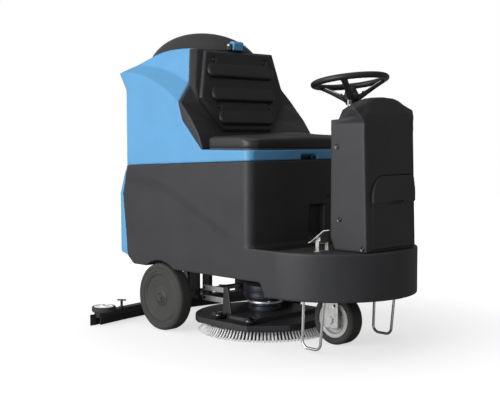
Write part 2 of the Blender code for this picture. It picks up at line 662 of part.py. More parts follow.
def battery(name, index):
    """A traction battery with two lead posts; index counts from the front of the well."""
    rear_limit = WELL_REAR_X + 2 * VACUUM_R + 0.02
    length = (WELL_FRONT_X - rear_limit) / 2 - BATTERY_GAP
    front = WELL_FRONT_X - BATTERY_GAP - index * (length + BATTERY_GAP)
    floor = WELL_FLOOR_Z + GAP
    top = floor + BATTERY_HEIGHT
    case = box(name, (front - length, -BATTERY_HALF, floor), (front, BATTERY_HALF, top))
    soften(case, 0.006, 1)
    for y in (0.05 - BATTERY_HALF, BATTERY_HALF - 0.05):
        join(case, drum("post", (front - 0.04, y, top - 0.01), (front - 0.04, y, top + 0.018), POST_R, 16))
    return place(case, PARTS, "battery_case")


def vacuum_motor():
    """The suction fan, standing in the well behind the batteries."""
    x = WELL_REAR_X + VACUUM_R + 0.008
    z = WELL_FLOOR_Z + GAP
    profile = [(0, z + 0.17), (0.03, z + 0.17), (0.03, z + 0.13), (VACUUM_R - 0.012, z + 0.12),
               (VACUUM_R - 0.012, z + 0.07), (VACUUM_R, z + 0.06), (VACUUM_R, z), (0, z)]
    return place(turned("vacuum_motor", profile, (x, 0, 0), sides=28), PARTS, "motor_metal")


def pad_x(z):
    """The backrest's front face at a height."""
    (x0, z0), (x1, z1) = PAD_FOOT, PAD_TOP
    return TANK_FRONT_X + x0 + (x1 - x0) * (z - z0) / (z1 - z0)


def bucket_rear(level, back):
    """The four points across the bucket's rear surface at one height."""
    z, rear, _, flat_inset, inset = level
    side_x = TANK_FRONT_X + rear - back
    x = pad_x(z) - PAD_THICK - SHELL_THICK - back
    flat, half = HALF - flat_inset, HALF - inset
    return [(side_x, -half, z), (x, -flat, z), (x, flat, z), (side_x, half, z)]


def bucket_cutter(back):
    """Everything ahead of the bucket's rear surface, above the seat's deck."""
    rings = []
    first, last = BUCKET[0], BUCKET[-1]
    levels = [(first[0] - GAP, *first[1:])] + list(BUCKET[1:]) + [(last[0] + 0.1, *last[1:])]
    wide, front = HALF + 0.05, TANK_FRONT_X + 0.1
    for level in levels:
        ring = bucket_rear(level, back)
        side_x, z = ring[0][0], level[0]
        rings.append([(side_x, -wide, z)] + ring + [(side_x, wide, z), (front, wide, z), (front, -wide, z)])
    return loft("bucket_cutter", rings)


def backrest_shell():
    """The black bucket behind and beside the driver: a wall with a wing on each side."""
    rings = []
    for level in BUCKET:
        z, _, wing, flat_inset, inset = level
        x, wing_x = pad_x(z) - PAD_THICK - GAP, TANK_FRONT_X + wing
        flat, half = HALF - flat_inset, HALF - inset
        front = [(wing_x, half, z), (x, flat, z), (x, -flat, z), (wing_x, -half, z)]
        rings.append(bucket_rear(level, 0) + front)
    return place(loft("backrest_shell", rings), PARTS, "black_plastic")


def backrest_pad():
    """The hexagonal padded panel, leaning on the shell."""
    (x0, z0), (x1, z1) = PAD_FOOT, PAD_TOP
    lean = math.atan2(x0 - x1, z1 - z0)
    across = [(HALF - inset, (z - z0) / math.cos(lean)) for inset, z in PAD_OUTLINE]
    outline = rounded([(-y, v, 0.02) for y, v in reversed(across)] + [(y, v, 0.02) for y, v in across], 3)
    pad = plate("backrest_pad", outline, "YZ", -PAD_THICK, 0)
    leaning = Matrix.Translation((pad_x(z0), 0, z0)) @ Matrix.Rotation(-lean, 4, "Y")
    pad.matrix_world = leaning @ pad.matrix_world
    return place(pad, PARTS, "seat_vinyl")


def seat_cushion():
    """The seat's upholstery as a plain solid: nearly as wide as the body, its rear edge between the wings."""
    rear = pad_x(SEAT_DECK_Z) + 0.045
    front = TANK_FRONT_X + 0.004
    half, corner = HALF - 0.012, rear + 0.042
    outline = rounded([(rear, -0.11, 0.01), (corner, -half, 0.012), (front, -half, 0.045),
                       (front, half, 0.045), (corner, half, 0.012), (rear, 0.11, 0.01)], 3)
    low = SEAT_DECK_Z + GAP
    cushion = plate("seat_cushion", outline, "XY", low, low + CUSHION_HEIGHT)
    return place(soften(cushion, 0.014, 2, 60), PARTS, "seat_vinyl")


def upper_side_y(x, z):
    """Half the upper tank's width above its scoops: it narrows forwards and upwards."""
    return HALF - SCOOP_INSET - SCOOP_TAPER * (x - TANK_REAR_X) - SCOOP_LEAN * (z - 1.17)


def scoop_ring(centre_x, radius, crest_z):
    """One edge of the side scoop: an arc that falls forwards from its crest, closed above the tank."""
    x0 = TANK_REAR_X + centre_x
    falling = [(x0 + radius * math.sin(a), crest_z - radius * (1 - math.cos(a)))
               for a in (math.radians(-9 + 54 * k / 12) for k in range(13))]
    return falling + [(SCOOP_FRONT_X, 1.4), (TANK_REAR_X - 0.2, 1.4)]


def scoop(sign):
    """The wedge that is set back from the tank's side, above the scoop's band."""
    edge = scoop_ring(-0.042, 0.64, 1.171)
    outer = [(x, sign * (HALF + 0.05), z) for x, z in edge]
    low = [(x, sign * HALF, z) for x, z in edge]
    inner = [(x, sign * upper_side_y(x, z), z) for x, z in scoop_ring(0.008, 0.70, 1.205)]
    return loft("scoop", [outer, low, inner])


def cavity_outline():
    """The recovery tank's mouth: an oval that the dome lid covers with room to spare."""
    points = []
    for k in range(28):
        a = math.tau * k / 28
        reach = CAVITY_FRONT if math.cos(a) > 0 else CAVITY_REAR
        points.append((DOME_CENTRE[0] + reach * math.cos(a), (HALF - CAVITY_SIDE) * math.sin(a)))
    return points


def recovery_tank():
    """The upper tank, which is also the seat's base: open at its top, under the dome lid."""
    low = [(x, split_z(x) + GAP) for x in (TANK_REAR_X, TANK_FRONT_X)]
    outline = low + [(TANK_FRONT_X, SEAT_DECK_Z), (TANK_FRONT_X - 0.25, SEAT_DECK_Z)] + list(TANK_TOP)
    outline.append((TANK_REAR_X - 0.002, 1.09))
    tank = plate("recovery_tank", outline, "XZ", -HALF - 0.01, HALF + 0.01)
    common(tank, plate("plan", tank_plan(TANK_FRONT_X, TANK_REAR_X - 0.1), "XY", 0.5, 1.5))
    cut(tank, bucket_cutter(GAP * 1.5))
    cut(tank, scoop(-1), scoop(1))
    cut(tank, plate("cavity", cavity_outline(), "XY", CAVITY_FLOOR_Z, 1.5))
    cut(tank, box("grip", (TANK_FRONT_X - 0.03, -0.05, split_z(TANK_FRONT_X) - 0.01),
                  (TANK_FRONT_X + 0.05, 0.05, split_z(TANK_FRONT_X) + 0.024)))
    return place(tank, PARTS, "blue_plastic")


def tank_hinge():
    """The pin across the rear, under the recovery tank's edge, that the tank tilts on."""
    pin = drum("tank_hinge", (TANK_HINGE_X, -TANK_HINGE_HALF, SPLIT_REAR_Z),
               (TANK_HINGE_X, TANK_HINGE_HALF, SPLIT_REAR_Z), TANK_HINGE_R, 20)
    return place(pin, PARTS, "zinc_steel")


def dome_blob(name, shrink):
    """Half-egg solid of the lid, shrunk for its inner wall."""
    work = bmesh.new()
    bmesh.ops.create_uvsphere(work, u_segments=32, v_segments=14, radius=1.0)
    for vert in work.verts:
        reach = DOME_FRONT if vert.co.x > 0 else DOME_REAR
        vert.co.x *= reach - shrink
        vert.co.y *= DOME_HALF - shrink
        vert.co.z *= DOME_HEIGHT - shrink
    obj = from_bmesh(name, work, smooth=40)
    obj.location = DOME_CENTRE
    return obj


def lid():
    """The dome that covers the recovery tank: a thin shell, open below, cut to the tank's top."""
    front = LID_FRONT_X
    dome = dome_blob("lid", 0)
    cut(dome, box("front", (front, -HALF, 1.1), (front + 0.3, HALF, 1.5)))
    inside = dome_blob("inside", LID_WALL)
    cut(inside, box("inside_front", (front - LID_WALL, -HALF, 1.1), (front + 0.3, HALF, 1.5)))
    cut(dome, inside)
    under = [(SCOOP_FRONT_X, 1.0), (SCOOP_FRONT_X, TANK_TOP[0][1] + GAP)]
    under += [(x, z + GAP * 2) for x, z in TANK_TOP[:-1]]
    under += [(TANK_REAR_X - 0.2, TANK_TOP[-1][1] - 0.06), (TANK_REAR_X - 0.2, 0.9)]
    cut(dome, plate("under_lid", under, "XZ", -HALF - 0.05, HALF + 0.05))
    rod_at = latch_centre()
    for sign in (-1, 1):
        y0, y1 = sorted((sign * (LATCH_HALF + 0.002), sign * (LATCH_HALF + 0.012)))
        low, high = rod_at.z - 0.021, rod_at.z + 0.009
        join(dome, box("ear", (front - 0.004, y0, low), (rod_at.x + 0.008, y1, high)))
    cut(dome, drum("rod_hole", rod_at - Y * 0.1, rod_at + Y * 0.1, LATCH_ROD_R + PLAY, 16))
    return place(dome, PARTS, "black_plastic")


def latch_centre():
    """The middle of the rod that the lid's catch turns on."""
    return Vector((pad_x(PAD_TOP[1]) - 0.014, 0, LATCH_Z))


def lid_latch():
    """The blue catch on the lid's front edge, turning on its steel rod."""
    centre = latch_centre()
    outline = rounded([(-0.012, -0.018, 0.004), (0.014, -0.022, 0.004), (0.02, 0.012, 0.006),
                       (0.004, 0.021, 0.006), (-0.012, 0.017, 0.004)], 2)
    outline = [(centre.x + u, centre.z + v) for u, v in outline]
    tab = plate("lid_latch", outline, "XZ", -LATCH_HALF, LATCH_HALF)
    join(tab, drum("rod", centre - Y * 0.055, centre + Y * 0.055, LATCH_ROD_R, 16))
    return place(tab, PARTS, "blue_plastic")


# ---- Column, steering and controls ---------------------------------------------------------------
def hatch_outline(grow):
    """The front hatch's outline: one upper corner is a wide arc."""
    (y0, y1), (z0, z1) = HATCH_Y, HATCH_Z
    return rounded([(y0 - grow, z0 - grow, 0.006), (y1 + grow, z0 - grow, 0.006),
                    (y1 + grow, z1 + grow, 0.012), (y0 - grow, z1 + grow, HATCH_R + grow)], 6)


def column_shell():
    """The steering column's casing: a rectangular tube with a hatch in its front."""
    low = RIM_Z + GAP
    outline = [(COLUMN_REAR_X + 0.025, low), (COLUMN_FRONT_X, low), (COLUMN_FRONT_X, COLUMN_TOP_Z),
               (COLUMN_REAR_X, COLUMN_TOP_Z - 0.003), (COLUMN_REAR_X, low + 0.05)]
    shell = plate("column_shell", outline, "XZ", -COLUMN_HALF, COLUMN_HALF)
    soften(shell, 0.006, 2)
    inner = COLUMN_HALF - COLUMN_WALL
    cut(shell, plate("hatch_hole", hatch_outline(0.0006), "YZ", COLUMN_FRONT_X - 0.02, COLUMN_FRONT_X + 0.02))
    cut(shell, box("bore", (COLUMN_REAR_X + COLUMN_WALL + 0.02, -inner, low - 0.05),
                   (COLUMN_FRONT_X - COLUMN_WALL, inner, COLUMN_TOP_Z + 0.1)))
    return place(shell, PARTS, "black_plastic")


def head_section(y, crest_z, ledge):
    """The head's outline across one width: flat below, upright in front, and a slope towards the driver.

    A ledge of 0 is the full neck, and 1 a low ledge with the slope set back from the column's rear.
    """
    rear, front, low = COLUMN_REAR_X, COLUMN_FRONT_X, COLUMN_TOP_Z + 2 * GAP
    crest = front - HEAD_CREST
    neck = [(rear + 0.03, 1.008), (rear - 0.02, 0.985), (rear - 0.027, 0.972), (rear - 0.034, 0.96),
            (rear - 0.03, low)]
    stepped = [(rear + 0.093, 0.99), (rear + 0.065, 0.968), (rear + 0.045, 0.945), (rear, 0.942), (rear, low)]
    back = [(a + (b - a) * ledge, y, c + (d - c) * ledge) for (a, c), (b, d) in zip(neck, stepped)]
    return [(front, y, low), (front - 0.004, y, low + 0.04), (crest + 0.012, y, crest_z - 0.008),
            (crest, y, crest_z), (crest - 0.045, y, crest_z - 0.003)] + back


def head_side(sign):
    """The head's end: a gable that leans out from the column's side to the crest."""
    rear, front, low = COLUMN_REAR_X, COLUMN_FRONT_X, COLUMN_TOP_Z + 2 * GAP
    y, wide, crest = sign * COLUMN_HALF, sign * (COLUMN_HALF + HEAD_FLARE), front - HEAD_CREST
    flared = sign * (COLUMN_HALF + HEAD_FLARE * 2 / 3)
    eased = sign * (COLUMN_HALF + HEAD_FLARE * 2 / 5)
    return [(front, y, low), (front - 0.007, eased, low + 0.024), (crest + 0.01, wide, 0.983),
            (crest, wide, 0.987), (crest - 0.035, flared, 0.972), (rear + 0.075, y, 0.962),
            (rear + 0.05, y, 0.947), (rear + 0.042, y, 0.945), (rear, y, 0.942), (rear, y, low)]


def control_head():
    """The arched head on the column, which the steering shaft comes out of."""
    crown = [(COLUMN_HALF - 0.03, 1.008, 1), (COLUMN_HALF - 0.06, 1.022, 0.7), (HEAD_NECK_HALF, 1.03, 0),
             (0.0, 1.033, 0)]
    near = [head_section(-y, z, ledge) for y, z, ledge in crown]
    far = [head_section(y, z, ledge) for y, z, ledge in reversed(crown[:-1])]
    head = loft("control_panel", [head_side(-1)] + near + far + [head_side(1)])
    start = STEER_CENTRE + STEER_DOWN * 0.07
    cut(head, drum("shaft_hole", start, STEER_CENTRE + STEER_DOWN * 0.135, SHAFT_R + PLAY, 24))
    x, top = COLUMN_SHAFT_X, COLUMN_SHAFT_TOP_Z + 0.001
    cut(head, drum("upright_hole", (x, 0, 0.9), (x, 0, top), COLUMN_SHAFT_R + PLAY, 20))
    cut(head, drum("key_hole", key_place(-0.03), key_place(0.05), KEY_R + PLAY, 20))
    cut(head, drum("horn_hole", horn_place(-0.014), horn_place(0.05), HORN_R + PLAY, 20))
    return place(head, PARTS, "black_plastic")


def panel_normal():
    """Outward from the head's rear slope, which faces the driver."""
    run = Vector((0.05, 0, 0.023)).normalized()
    return Vector((-run.z, 0, run.x))


def panel_point(y):
    return Vector((COLUMN_REAR_X + 0.008, y, 0.9978))


def key_place(height):
    return panel_point(KEY_Y) + panel_normal() * height


def horn_place(height):
    return panel_point(HORN_Y) + panel_normal() * height


def key_switch():
    """The ignition key in its barrel."""
    key = drum("key_switch", key_place(-0.028), key_place(0.006), KEY_R, 20)
    join(key, box("bow", key_place(0.016) - Vector((0.0015, 0.01, 0.012)),
                  key_place(0.016) + Vector((0.0015, 0.01, 0.012))))
    return place(key, PARTS, "zinc_steel")


def horn_button():
    return place(drum("horn_button", horn_place(-0.008), horn_place(0.006), HORN_R, 20), PARTS, "horn_red")


def front_hatch():
    """The storage hatch in the column's front, with a finger slot."""
    hatch = plate("front_hatch", hatch_outline(0), "YZ", COLUMN_FRONT_X - 0.008, COLUMN_FRONT_X + 0.004)
    middle = (HATCH_Y[0] + HATCH_Y[1]) / 2 + 0.015
    cut(hatch, box("finger_slot", (COLUMN_FRONT_X - 0.003, middle - 0.045, 0.608),
                   (COLUMN_FRONT_X + 0.03, middle + 0.045, 0.622)))
    return place(hatch, PARTS, "black_plastic")


def steering_rim():
    """The wheel: a round rim, three spokes that fall steeply to a low boss, all in its own tilted frame."""
    angles = [math.tau * k / 40 for k in range(40)]
    circle = [(STEER_R * math.cos(a), STEER_R * math.sin(a), 0) for a in angles]
    wheel = rod("steering_rim", circle, STEER_RIM_R, 2, cyclic=True)
    join(wheel, drum("boss", (0, 0, -HUB_BOTTOM), (0, 0, -0.024), HUB_R, 28))
    outer, inner = Vector((STEER_R - 0.006, 0, -0.01)), Vector((0.02, 0, 0.012 - HUB_BOTTOM))
    fall = math.atan2(outer.z - inner.z, outer.x - inner.x)
    for angle in (60, 180, 300):
        spoke = box("spoke", (0, -SPOKE_HALF, -0.005), ((outer - inner).length, SPOKE_HALF, 0.005))
        sloped = Matrix.Translation(inner) @ Matrix.Rotation(-fall, 4, "Y")
        spoke.matrix_world = Matrix.Rotation(math.radians(angle), 4, "Z") @ sloped @ spoke.matrix_basis
        join(wheel, spoke)
    frame = Matrix.Translation(STEER_CENTRE) @ Matrix.Rotation(-STEER_TILT, 4, "Y")
    for obj in [wheel] + [m.object for m in wheel.modifiers]:
        obj.matrix_world = frame @ obj.matrix_basis
    return place(wheel, PARTS, "black_plastic")


def steering_hub():
    """The tapered collar under the wheel's boss."""
    top = HUB_BOTTOM + GAP
    profile = [(0, -top), (HUB_R - 0.004, -top), (0.02, -HUB_BOTTOM - 0.014), (0, -HUB_BOTTOM - 0.014)]
    hub = turned("steering_hub", profile, STEER_CENTRE, -STEER_DOWN, 28)
    return place(hub, PARTS, "black_plastic")


def steering_shaft():
    """The stub from the wheel's boss into its bearing in the head."""
    start = STEER_CENTRE + STEER_DOWN * (HUB_BOTTOM + 0.014 + GAP)
    stub = drum("steering_shaft", start, STEER_CENTRE + STEER_DOWN * 0.134, SHAFT_R, 20)
    return place(stub, PARTS, "zinc_steel")


def column_shaft():
    """The upright shaft inside the column, from the head to the reduction box."""
    x = COLUMN_SHAFT_X
    low, high = STEER_BOX_TOP_Z - 0.03, COLUMN_SHAFT_TOP_Z
    return place(drum("column_shaft", (x, 0, low), (x, 0, high), COLUMN_SHAFT_R, 16), PARTS, "zinc_steel")


def steering_box():
    """The reduction box at the column's foot, which the upright shaft ends in."""
    x = COLUMN_SHAFT_X
    case = box("steering_box", (x - 0.028, -0.05, RIM_Z + GAP), (x + 0.05, 0.05, STEER_BOX_TOP_Z))
    cut(case, drum("shaft_seat", (x, 0, STEER_BOX_TOP_Z - 0.0305), (x, 0, 1), COLUMN_SHAFT_R + PLAY, 20))
    return place(case, PARTS, "motor_metal")


def pedal_bracket():
    """Two feet on the mat and the pin that the pedal tilts on."""
    y0, y1 = PEDAL_Y
    foot = box("pedal_bracket", (PEDAL_PIVOT.x - 0.018, y0 + 0.008, MAT_TOP_Z + GAP),
               (PEDAL_PIVOT.x + 0.018, y1 - 0.008, MAT_TOP_Z + 0.005))
    for y in (y0 + 0.011, y1 - 0.011):
        join(foot, box("ear", (PEDAL_PIVOT.x - 0.009, y - 0.003, MAT_TOP_Z + 0.002),
                       (PEDAL_PIVOT.x + 0.009, y + 0.003, PEDAL_PIVOT.z + 0.006)))
    across = PEDAL_PIVOT.xz
    join(foot, drum("pin", (across[0], y0 + 0.009, across[1]), (across[0], y1 - 0.009, across[1]),
                    PEDAL_PIN_R, 12))
    return place(foot, PARTS, "zinc_steel")


def pedal_plate():
    """The sloping accelerator pedal with the lug that turns on the bracket's pin."""
    x0, x1 = (COLUMN_REAR_X - x for x in PEDAL_BEHIND)
    (z0, z1), (y0, y1) = PEDAL_Z, PEDAL_Y
    outline = [(x0, z0 - 0.002), (x0 + 0.012, z0), (x1 - 0.03, z1 - 0.006), (x1, z1), (x1, z1 + 0.004),
               (x1 - 0.032, z1 - 0.001), (x0 + 0.01, z0 + 0.005), (x0 - 0.001, z0 + 0.003)]
    pedal = plate("pedal_plate", outline, "XZ", y0, y1)
    x, z = PEDAL_PIVOT.x, PEDAL_PIVOT.z
    lug = rounded([(x - 0.009, z - 0.009, 0.006), (x + 0.009, z - 0.009, 0.006), (x + 0.012, z + 0.024, 0),
                   (x - 0.010, z + 0.0135, 0)], 3)
    join(pedal, plate("lug", lug, "XZ", y0 + 0.0145, y1 - 0.0145))
    cut(pedal, drum("pin_hole", (x, -1, z), (x, 1, z), PEDAL_PIN_R + PLAY, 16))
    return place(pedal, PARTS, "zinc_steel")


# ---- Wheels --------------------------------------------------------------------------------------
def rear_axle():
    half = HALF - 0.012
    return place(drum("rear_axle", (REAR_AXLE_X, -half, REAR_WHEEL_R), (REAR_AXLE_X, half, REAR_WHEEL_R),
                      AXLE_R, 24), PARTS, "zinc_steel")


def rear_wheel(side):
    """A solid tyre on a moulded rim, each turned about the axle."""
    sign = mirrored(side)
    centre = (REAR_AXLE_X, sign * (HALF - REAR_WHEEL_WIDTH / 2), REAR_WHEEL_R)
    w, r = REAR_WHEEL_WIDTH / 2, REAR_WHEEL_R
    tread = [(REAR_RIM_R + 0.018, w - 0.003), (REAR_RIM_R + 0.021, w), (r - 0.012, w), (r - 0.003, w - 0.006),
             (r, w - 0.016), (r, -w + 0.016), (r - 0.003, -w + 0.006), (r - 0.012, -w), (REAR_RIM_R, -w),
             (REAR_RIM_R, w - 0.003)]
    tyre = turned("rear_tyre_" + side, tread, centre, sign * Y, 36)
    rim_r, bore = REAR_RIM_R - GAP, AXLE_R + PLAY
    dish = [(bore, w - 0.006), (0.02, w - 0.004), (0.026, w - 0.01), (0.034, w - 0.012), (0.04, w - 0.017),
            (rim_r - 0.014, w - 0.013), (rim_r - 0.006, w - 0.004), (rim_r, w - 0.004), (rim_r, -w + 0.004),
            (rim_r - 0.008, -w + 0.004), (rim_r - 0.014, 0.0), (0.036, 0.0), (0.03, -w), (bore, -w)]
    rim = turned("rear_rim_" + side, dish, centre, sign * Y, 36)
    return [place(tyre, PARTS, "grey_rubber"), place(rim, PARTS, "grey_plastic")]


def both_faces(profile):
    """A turned profile and its mirror image, from the near face round to the far one."""
    return profile + [(radius, -along) for radius, along in reversed(profile)]


def front_wheel():
    centre = (FRONT_WHEEL_X, 0, FRONT_WHEEL_R)
    w, r = FRONT_WHEEL_WIDTH / 2, FRONT_WHEEL_R
    tread = [(FRONT_RIM_R, w - 0.006), (FRONT_RIM_R + 0.015, w), (r - 0.008, w), (r - 0.001, w - 0.007),
             (r, w - 0.012)]
    tyre = turned("front_tyre", both_faces(tread), centre, Y, 36)
    rim_r, bore, lip = FRONT_RIM_R - GAP, WHEEL_BOLT_R + PLAY, FRONT_RIM_R - 0.012
    dish = [(bore, w - 0.004), (0.03, w - 0.004), (0.034, w - 0.016), (lip - 0.008, w - 0.016),
            (lip, w - 0.006), (rim_r, w - 0.006)]
    rim = turned("front_rim", both_faces(dish), centre, Y, 36)
    return [place(tyre, PARTS, "grey_rubber"), place(rim, PARTS, "aluminium_rim")]


def drive_fork():
    """The steered fork: a crown with two side plates and the hollow kingpin."""
    inner = FRONT_WHEEL_WIDTH / 2 + FORK_GAP
    crown_z = 2 * FRONT_WHEEL_R + 0.006
    x = FRONT_WHEEL_X
    outer = inner + FORK_PLATE
    fork = box("drive_fork", (x - 0.04, -outer, crown_z), (x + 0.04, outer, crown_z + 0.012))
    for sign in (-1, 1):
        x0, x1, low = x - 0.0385, x + 0.0385, FRONT_WHEEL_R - 0.035
        outline = rounded([(x0, low, 0.012), (x1, low, 0.012), (x1, crown_z + 0.011, 0),
                           (x0, crown_z + 0.011, 0)], 3)
        side = plate("side", outline, "XZ", sign * (inner + 0.0001), sign * (outer - 0.0001))
        join(fork, side)
    join(fork, drum("kingpin", (x, 0, crown_z + 0.006), (x, 0, RAIL_TOP_Z + 0.006), KINGPIN_R, 28))
    cut(fork, drum("axle_hole", (x, -1, FRONT_WHEEL_R), (x, 1, FRONT_WHEEL_R), WHEEL_BOLT_R + GAP, 24))
    sight = FRONT_WHEEL_R + 0.062
    cut(fork, drum("sight_hole", (x + 0.02, -1, sight), (x + 0.02, 1, sight), 0.006, 12))
    return place(fork, PARTS, "zinc_steel")


def drive_axle():
    """The wheel's bolt, with a hexagon head at each end."""
    reach = FRONT_WHEEL_WIDTH / 2 + FORK_GAP + FORK_PLATE + GAP
    x, z = FRONT_WHEEL_X, FRONT_WHEEL_R
    bolt = drum("drive_axle", (x, -reach - 0.002, z), (x, reach + 0.002, z), WHEEL_BOLT_R, 24)
    for sign in (-1, 1):
        join(bolt, drum("head", (x, sign * reach, z), (x, sign * (reach + 0.008), z), 0.016, 6))
    return place(bolt, PARTS, "zinc_steel")


def drive_motor():
    """The traction motor on top of the kingpin: it turns with the fork."""
    z = RAIL_TOP_Z + 0.006 + GAP
    top = FLOOR_BOTTOM_Z - 0.008
    profile = [(0, top), (0.03, top), (0.05, top - 0.006), (0.05, z), (0, z)]
    return place(turned("drive_motor", profile, (FRONT_WHEEL_X, 0, 0), sides=32), PARTS, "motor_metal")


# ---- Brush deck ----------------------------------------------------------------------------------
def deck_outline(grow=0.0):
    """The deck's plan: round behind, flat sides, chamfered to a flat front."""
    radius = BRUSH_R + DECK_ROUND_OUT + grow
    flat, nose = DECK_FLAT_Y + grow, DECK_FLAT_Y - DECK_NOSE_HALF_IN
    chamfer_x, front_x = BRUSH_X + BRUSH_R - 0.13, BRUSH_X + BRUSH_R - 0.02 + grow
    start = math.degrees(math.asin(flat / radius))
    back = arc(BRUSH_X, 0, radius, 180 - start, 180 + start, 24)
    return back + [(chamfer_x, -flat), (front_x, -nose), (front_x, nose), (chamfer_x, flat)]


def deck_plate():
    """The brush's cover: a dished plate with the link brackets and a motor step welded on."""
    low, high = BRUSH_DECK_Z, BRUSH_DECK_Z + BRUSH_DECK_THICK
    deck = plate("deck_plate", deck_outline(), "XY", low, high)
    cut(deck, plate("under", deck_outline(-0.006), "XY", low - 0.05, high - 0.007))
    y = DECK_FLAT_Y - DECK_STEP_IN
    x0, x1 = BRUSH_X - 0.13, BRUSH_X + BRUSH_R - 0.155
    join(deck, plate("step", rounded([(x0, -y, 0.02), (x1, -y, 0.02), (x1, y, 0.02), (x0, y, 0.02)], 3),
                     "XY", high - 0.004, high + DECK_STEP))
    pivot_x = HANGER_X + LINK_LENGTH
    outer = LINK_Y + LINK_THICK / 2 + GAP
    for sign in (-1, 1):
        y0, y1 = sorted((sign * outer, sign * (outer + 0.008)))
        top = LINK_HIGH_Z + 0.02
        tower = rounded([(pivot_x - 0.022, high, 0), (pivot_x + 0.04, high, 0), (pivot_x + 0.014, top, 0.01),
                         (pivot_x - 0.014, top, 0.01)], 3)
        join(deck, plate("tower", tower, "XZ", y0, y1))
        for z in (LINK_LOW_Z, LINK_HIGH_Z):
            join(deck, drum("link_pin", (pivot_x, sign * (outer + 0.004), z),
                            (pivot_x, sign * (outer - LINK_THICK - 0.004), z), LINK_PIN_R, 16))
    cut(deck, drum("shaft_hole", (BRUSH_X, 0, 0), (BRUSH_X, 0, 0.3), BRUSH_SHAFT_R + 0.006, 28))
    return place(deck, PARTS, "dark_steel")


def link(name, side, z, play):
    """One link of the deck's parallelogram, from its chassis pivot to its deck pivot."""
    sign = mirrored(side)
    x0, x1 = HANGER_X, HANGER_X + LINK_LENGTH
    steps = 12
    under = [(x0 + (x1 - x0) * k / steps, z - 0.012) for k in range(1, steps)]
    over = [(x1 + (x0 - x1) * k / steps, z + 0.012) for k in range(1, steps)]
    outline = arc(x0, z, 0.014, 120, 240, 5) + under[1:-1] + arc(x1, z, 0.014, -60, 60, 5) + over[1:-1]
    y = sign * LINK_Y
    bar = plate(f"{name}_{side}", outline, "XZ", y - LINK_THICK / 2, y + LINK_THICK / 2)
    cut(bar, drum("chassis_hole", (x0, -1, z), (x0, 1, z), LINK_PIN_R + PLAY, 20))
    cut(bar, drum("deck_hole", (x1, -1, z), (x1, 1, z), LINK_PIN_R + play, 20))
    return place(bar, PARTS, "zinc_steel")


def deck_knob(side, index):
    """A round glossy knob on the deck's edge, screwed to the plate."""
    x, y = KNOB_PLACES[index]
    low = BRUSH_DECK_Z + BRUSH_DECK_THICK + GAP
    profile = [(0, 0.03), (0.012, 0.03), (0.021, 0.024), (0.025, 0.014), (0.022, 0.004), (0.014, 0), (0, 0)]
    label = ("rear", "front")[index]
    knob = turned(f"deck_knob_{label}_{side}", [(r, low + h) for r, h in profile],
                  (x, mirrored(side) * y, 0), sides=24)
    return place(knob, PARTS, "knob_plastic")


def brush_hub_z():
    """Top of the brush's block, under the deck."""
    return BRUSH_DECK_Z + BRUSH_DECK_THICK - 0.009


def brush_disc():
    """The brush's block, hung on the motor's shaft."""
    low, top = BRISTLE_TOP_Z + GAP, brush_hub_z()
    edge = DECK_FLAT_Y - 0.014
    profile = [(0, top), (0.028, top), (0.04, low + 0.016), (edge - 0.006, low + 0.014), (edge, low + 0.006),
               (edge, low), (0, low)]
    return place(turned("brush_disc", profile, (BRUSH_X, 0, 0), sides=40), PARTS, "brush_block")


def bristle_ring():
    """The bristles' envelope: a ring that flares to its tips."""
    profile = [(DECK_FLAT_Y - 0.016, BRISTLE_TOP_Z), (BRUSH_R, BRISTLE_BOTTOM_Z), (0.14, BRISTLE_BOTTOM_Z),
               (0.145, BRISTLE_TOP_Z)]
    return place(turned("bristle_ring", profile, (BRUSH_X, 0, 0), sides=40), PARTS, "bristle_nylon")


def brush_motor():
    """The gear motor on the deck's step, with its shaft down to the brush."""
    deck_top = BRUSH_DECK_Z + BRUSH_DECK_THICK + DECK_STEP + GAP
    shaft_low = brush_hub_z() + GAP
    casing = [(0, 0.138), (0.084, 0.138), (0.096, 0.128), (0.096, 0.062), (0.082, 0.052), (0.062, 0.046),
              (0.062, 0.025), (0.075, 0.02), (0.075, 0), (BRUSH_SHAFT_R, 0)]
    profile = [(radius, deck_top + z) for radius, z in casing] + [(BRUSH_SHAFT_R, shaft_low), (0, shaft_low)]
    return place(turned("brush_motor", profile, (BRUSH_X, 0, 0), sides=36), PARTS, "motor_metal")


# ---- Squeegee ------------------------------------------------------------------------------------
def squeegee_x(y):
    """The bar's centre line: a shallow curve, swept back in the middle."""
    share = min(abs(y) / SQUEEGEE_HALF, 1.0)
    return SQUEEGEE_MID_X + SQUEEGEE_SWEEP * share**1.6


def squeegee_strip(name, offset, thick, half, low, high):
    """A strip that follows the bar, offset along X from its centre line."""
    step = SQUEEGEE_HALF / 9
    inner = [k * step for k in range(-9, 10) if abs(k * step) < half - 0.002]
    ys = [-half] + inner + [half]
    front = [(squeegee_x(y) + offset + thick / 2, y) for y in ys]
    rear = [(squeegee_x(y) + offset - thick / 2, y) for y in reversed(ys)]
    return plate(name, front + rear, "XY", low, high)


